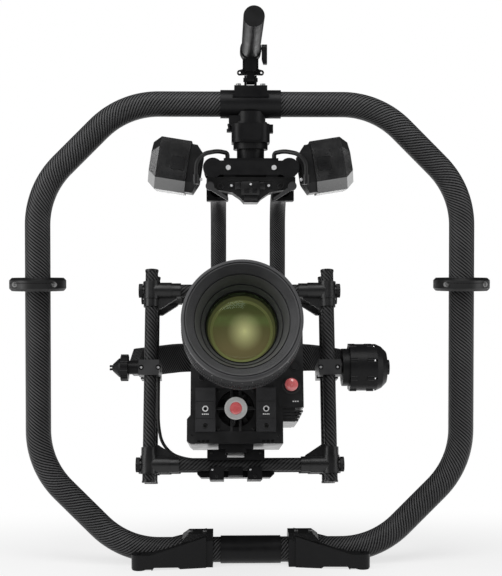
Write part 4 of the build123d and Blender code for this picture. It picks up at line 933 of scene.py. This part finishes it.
def make_cage_details():
    """Bright heads in the tilt clamps ringed with painted shade, and jaw and base screws in the rail clamp."""
    shade_rims, heads = [], []
    for tube_x in UPRIGHT_XS:
        for hole_x in (tube_x - 10.3, tube_x + 9.6):
            # Near-black rims round the holes: painted shade inside the clamp holes.
            rim = [(1.8, 0), (3.0, 0), (3.0, 0.25), (1.8, 0.25)]
            shade_rims.append(turned_part("well", (hole_x, -29, -3.5), (0, -1, 0), rim, JOINT_AND_PAINTED_SHADE_BLACK, 36))
            heads.append(socket_head("head", (hole_x, -27.4, -3.5), (0, -1, 0), 1.55, STEEL))
            heads.append(socket_head("head", (hole_x, 27.4, -3.5), (0, 1, 0), 1.55, STEEL))
    for x in (FAN[0] - 22, FAN[0] + 22):
        for y, way in ((-32, -1), (32, 1)):
            heads.append(socket_head("head", (x, y, -129.8), (0, way, 0), 1.9, BLACK_STEEL))
            heads.append(socket_head("head", (x + 5.2 * way, y, -122.4), (0, way, 0), 1.1, STEEL))
    for x in (FAN[0] - 28, FAN[0] + 28):
        for y, way in ((-32, -1), (32, 1)):
            heads.append(socket_head("head", (x, y, -103.4), (0, way, 0), 1.5, BLACK_STEEL))
    shade_rims = joined("clamp_hole_shade_rims", shade_rims)
    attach(shade_rims, "camera_cage")
    heads = joined("cage_screw_heads", heads)
    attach(heads, "camera_cage")


def make_camera_details():
    """Vent slots under the camera's front edge as near-black blocks of painted shade, and screws and a plain cover
    on its back.
    """
    rear = 66.0
    cover = block("rear_cover", (-58, rear - 0.5, -70), (20, rear + 2.2, 8), MOULDING, PITCHED, 0.8)
    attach(cover, "camera")
    fixings = []
    for x in (-54, 16):
        for z in (-66, 4):
            fixings.append(socket_head("head", (x, rear + 2.2, z), (0, 1, 0), 2.0, BLACK_STEEL))
    for x in (-64, 30):
        for z in (-80, 52):
            fixings.append(socket_head("head", (x, rear, z), (0, 1, 0), 1.6, STEEL))
    for x, z in ((30, 52), (-64, 52), (-68.5, -85), (30.5, -85)):
        fixings.append(socket_head("head", (x, FRONT_Y, z), (0, -1, 0), 1.5, BLACK_STEEL))
    fixings = joined("camera_screws", fixings)
    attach(fixings, "camera")
    shaded_slots = []
    for step in range(3):
        for low in (-62.0 + 5.2 * step, 12.0 + 5.2 * step):
            # Painted shade: near-black blocks stand in for the dark inside of the vent slots.
            shaded_slots.append(block("slot", (low, FRONT_Y - 0.25, -92.4), (low + 3.2, FRONT_Y + 0.6, -89.8),
                               JOINT_AND_PAINTED_SHADE_BLACK, PITCHED, 0.1))
    vents = joined("camera_vents", shaded_slots)
    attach(vents, "camera")


def make_stop_details():
    """Knurled lower rim and the seam round each hand stop."""
    for sign, side in ((-1, "left"), (1, "right")):
        low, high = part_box("hand_stops")
        radius = (high[1] - low[1]) / 2 / MM
        centre = Vector((sign * (high[0] - (high[1] - low[1]) / 2), (low[1] + high[1]) / 2, 0))
        base = low[2] / MM
        place = Matrix.Translation(centre)
        edge = [(radius - 4.5, base + 0.2), (radius - 2.9, base - 0.1), (radius - 0.5, base + 2.2),
                (radius + 0.1, base + 4.4), (radius - 3, base + 4.4)]

        def teeth(index, k):
            return -0.5 * (0.0, 0.0, 1.0, 1.0)[k % 4] if index in (1, 2, 3) else 0.0
        knurl = lathe("stop_knurl_" + side, edge, MOULDING, place, 480, teeth, 20)
        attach(knurl, "ring_frame")
        seam = [(radius - 2, base + 9.2), (radius + 0.06, base + 9.2), (radius + 0.06, base + 9.9),
                (radius - 2, base + 9.9)]
        seam = lathe("stop_seam_" + side, seam, JOINT_AND_PAINTED_SHADE_BLACK, place, 128)
        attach(seam, "ring_frame")


make_stop_details()
make_fan_guard()
make_fan_shroud()
make_front_marks()
make_hub_details()
make_cage_details()
make_camera_details()
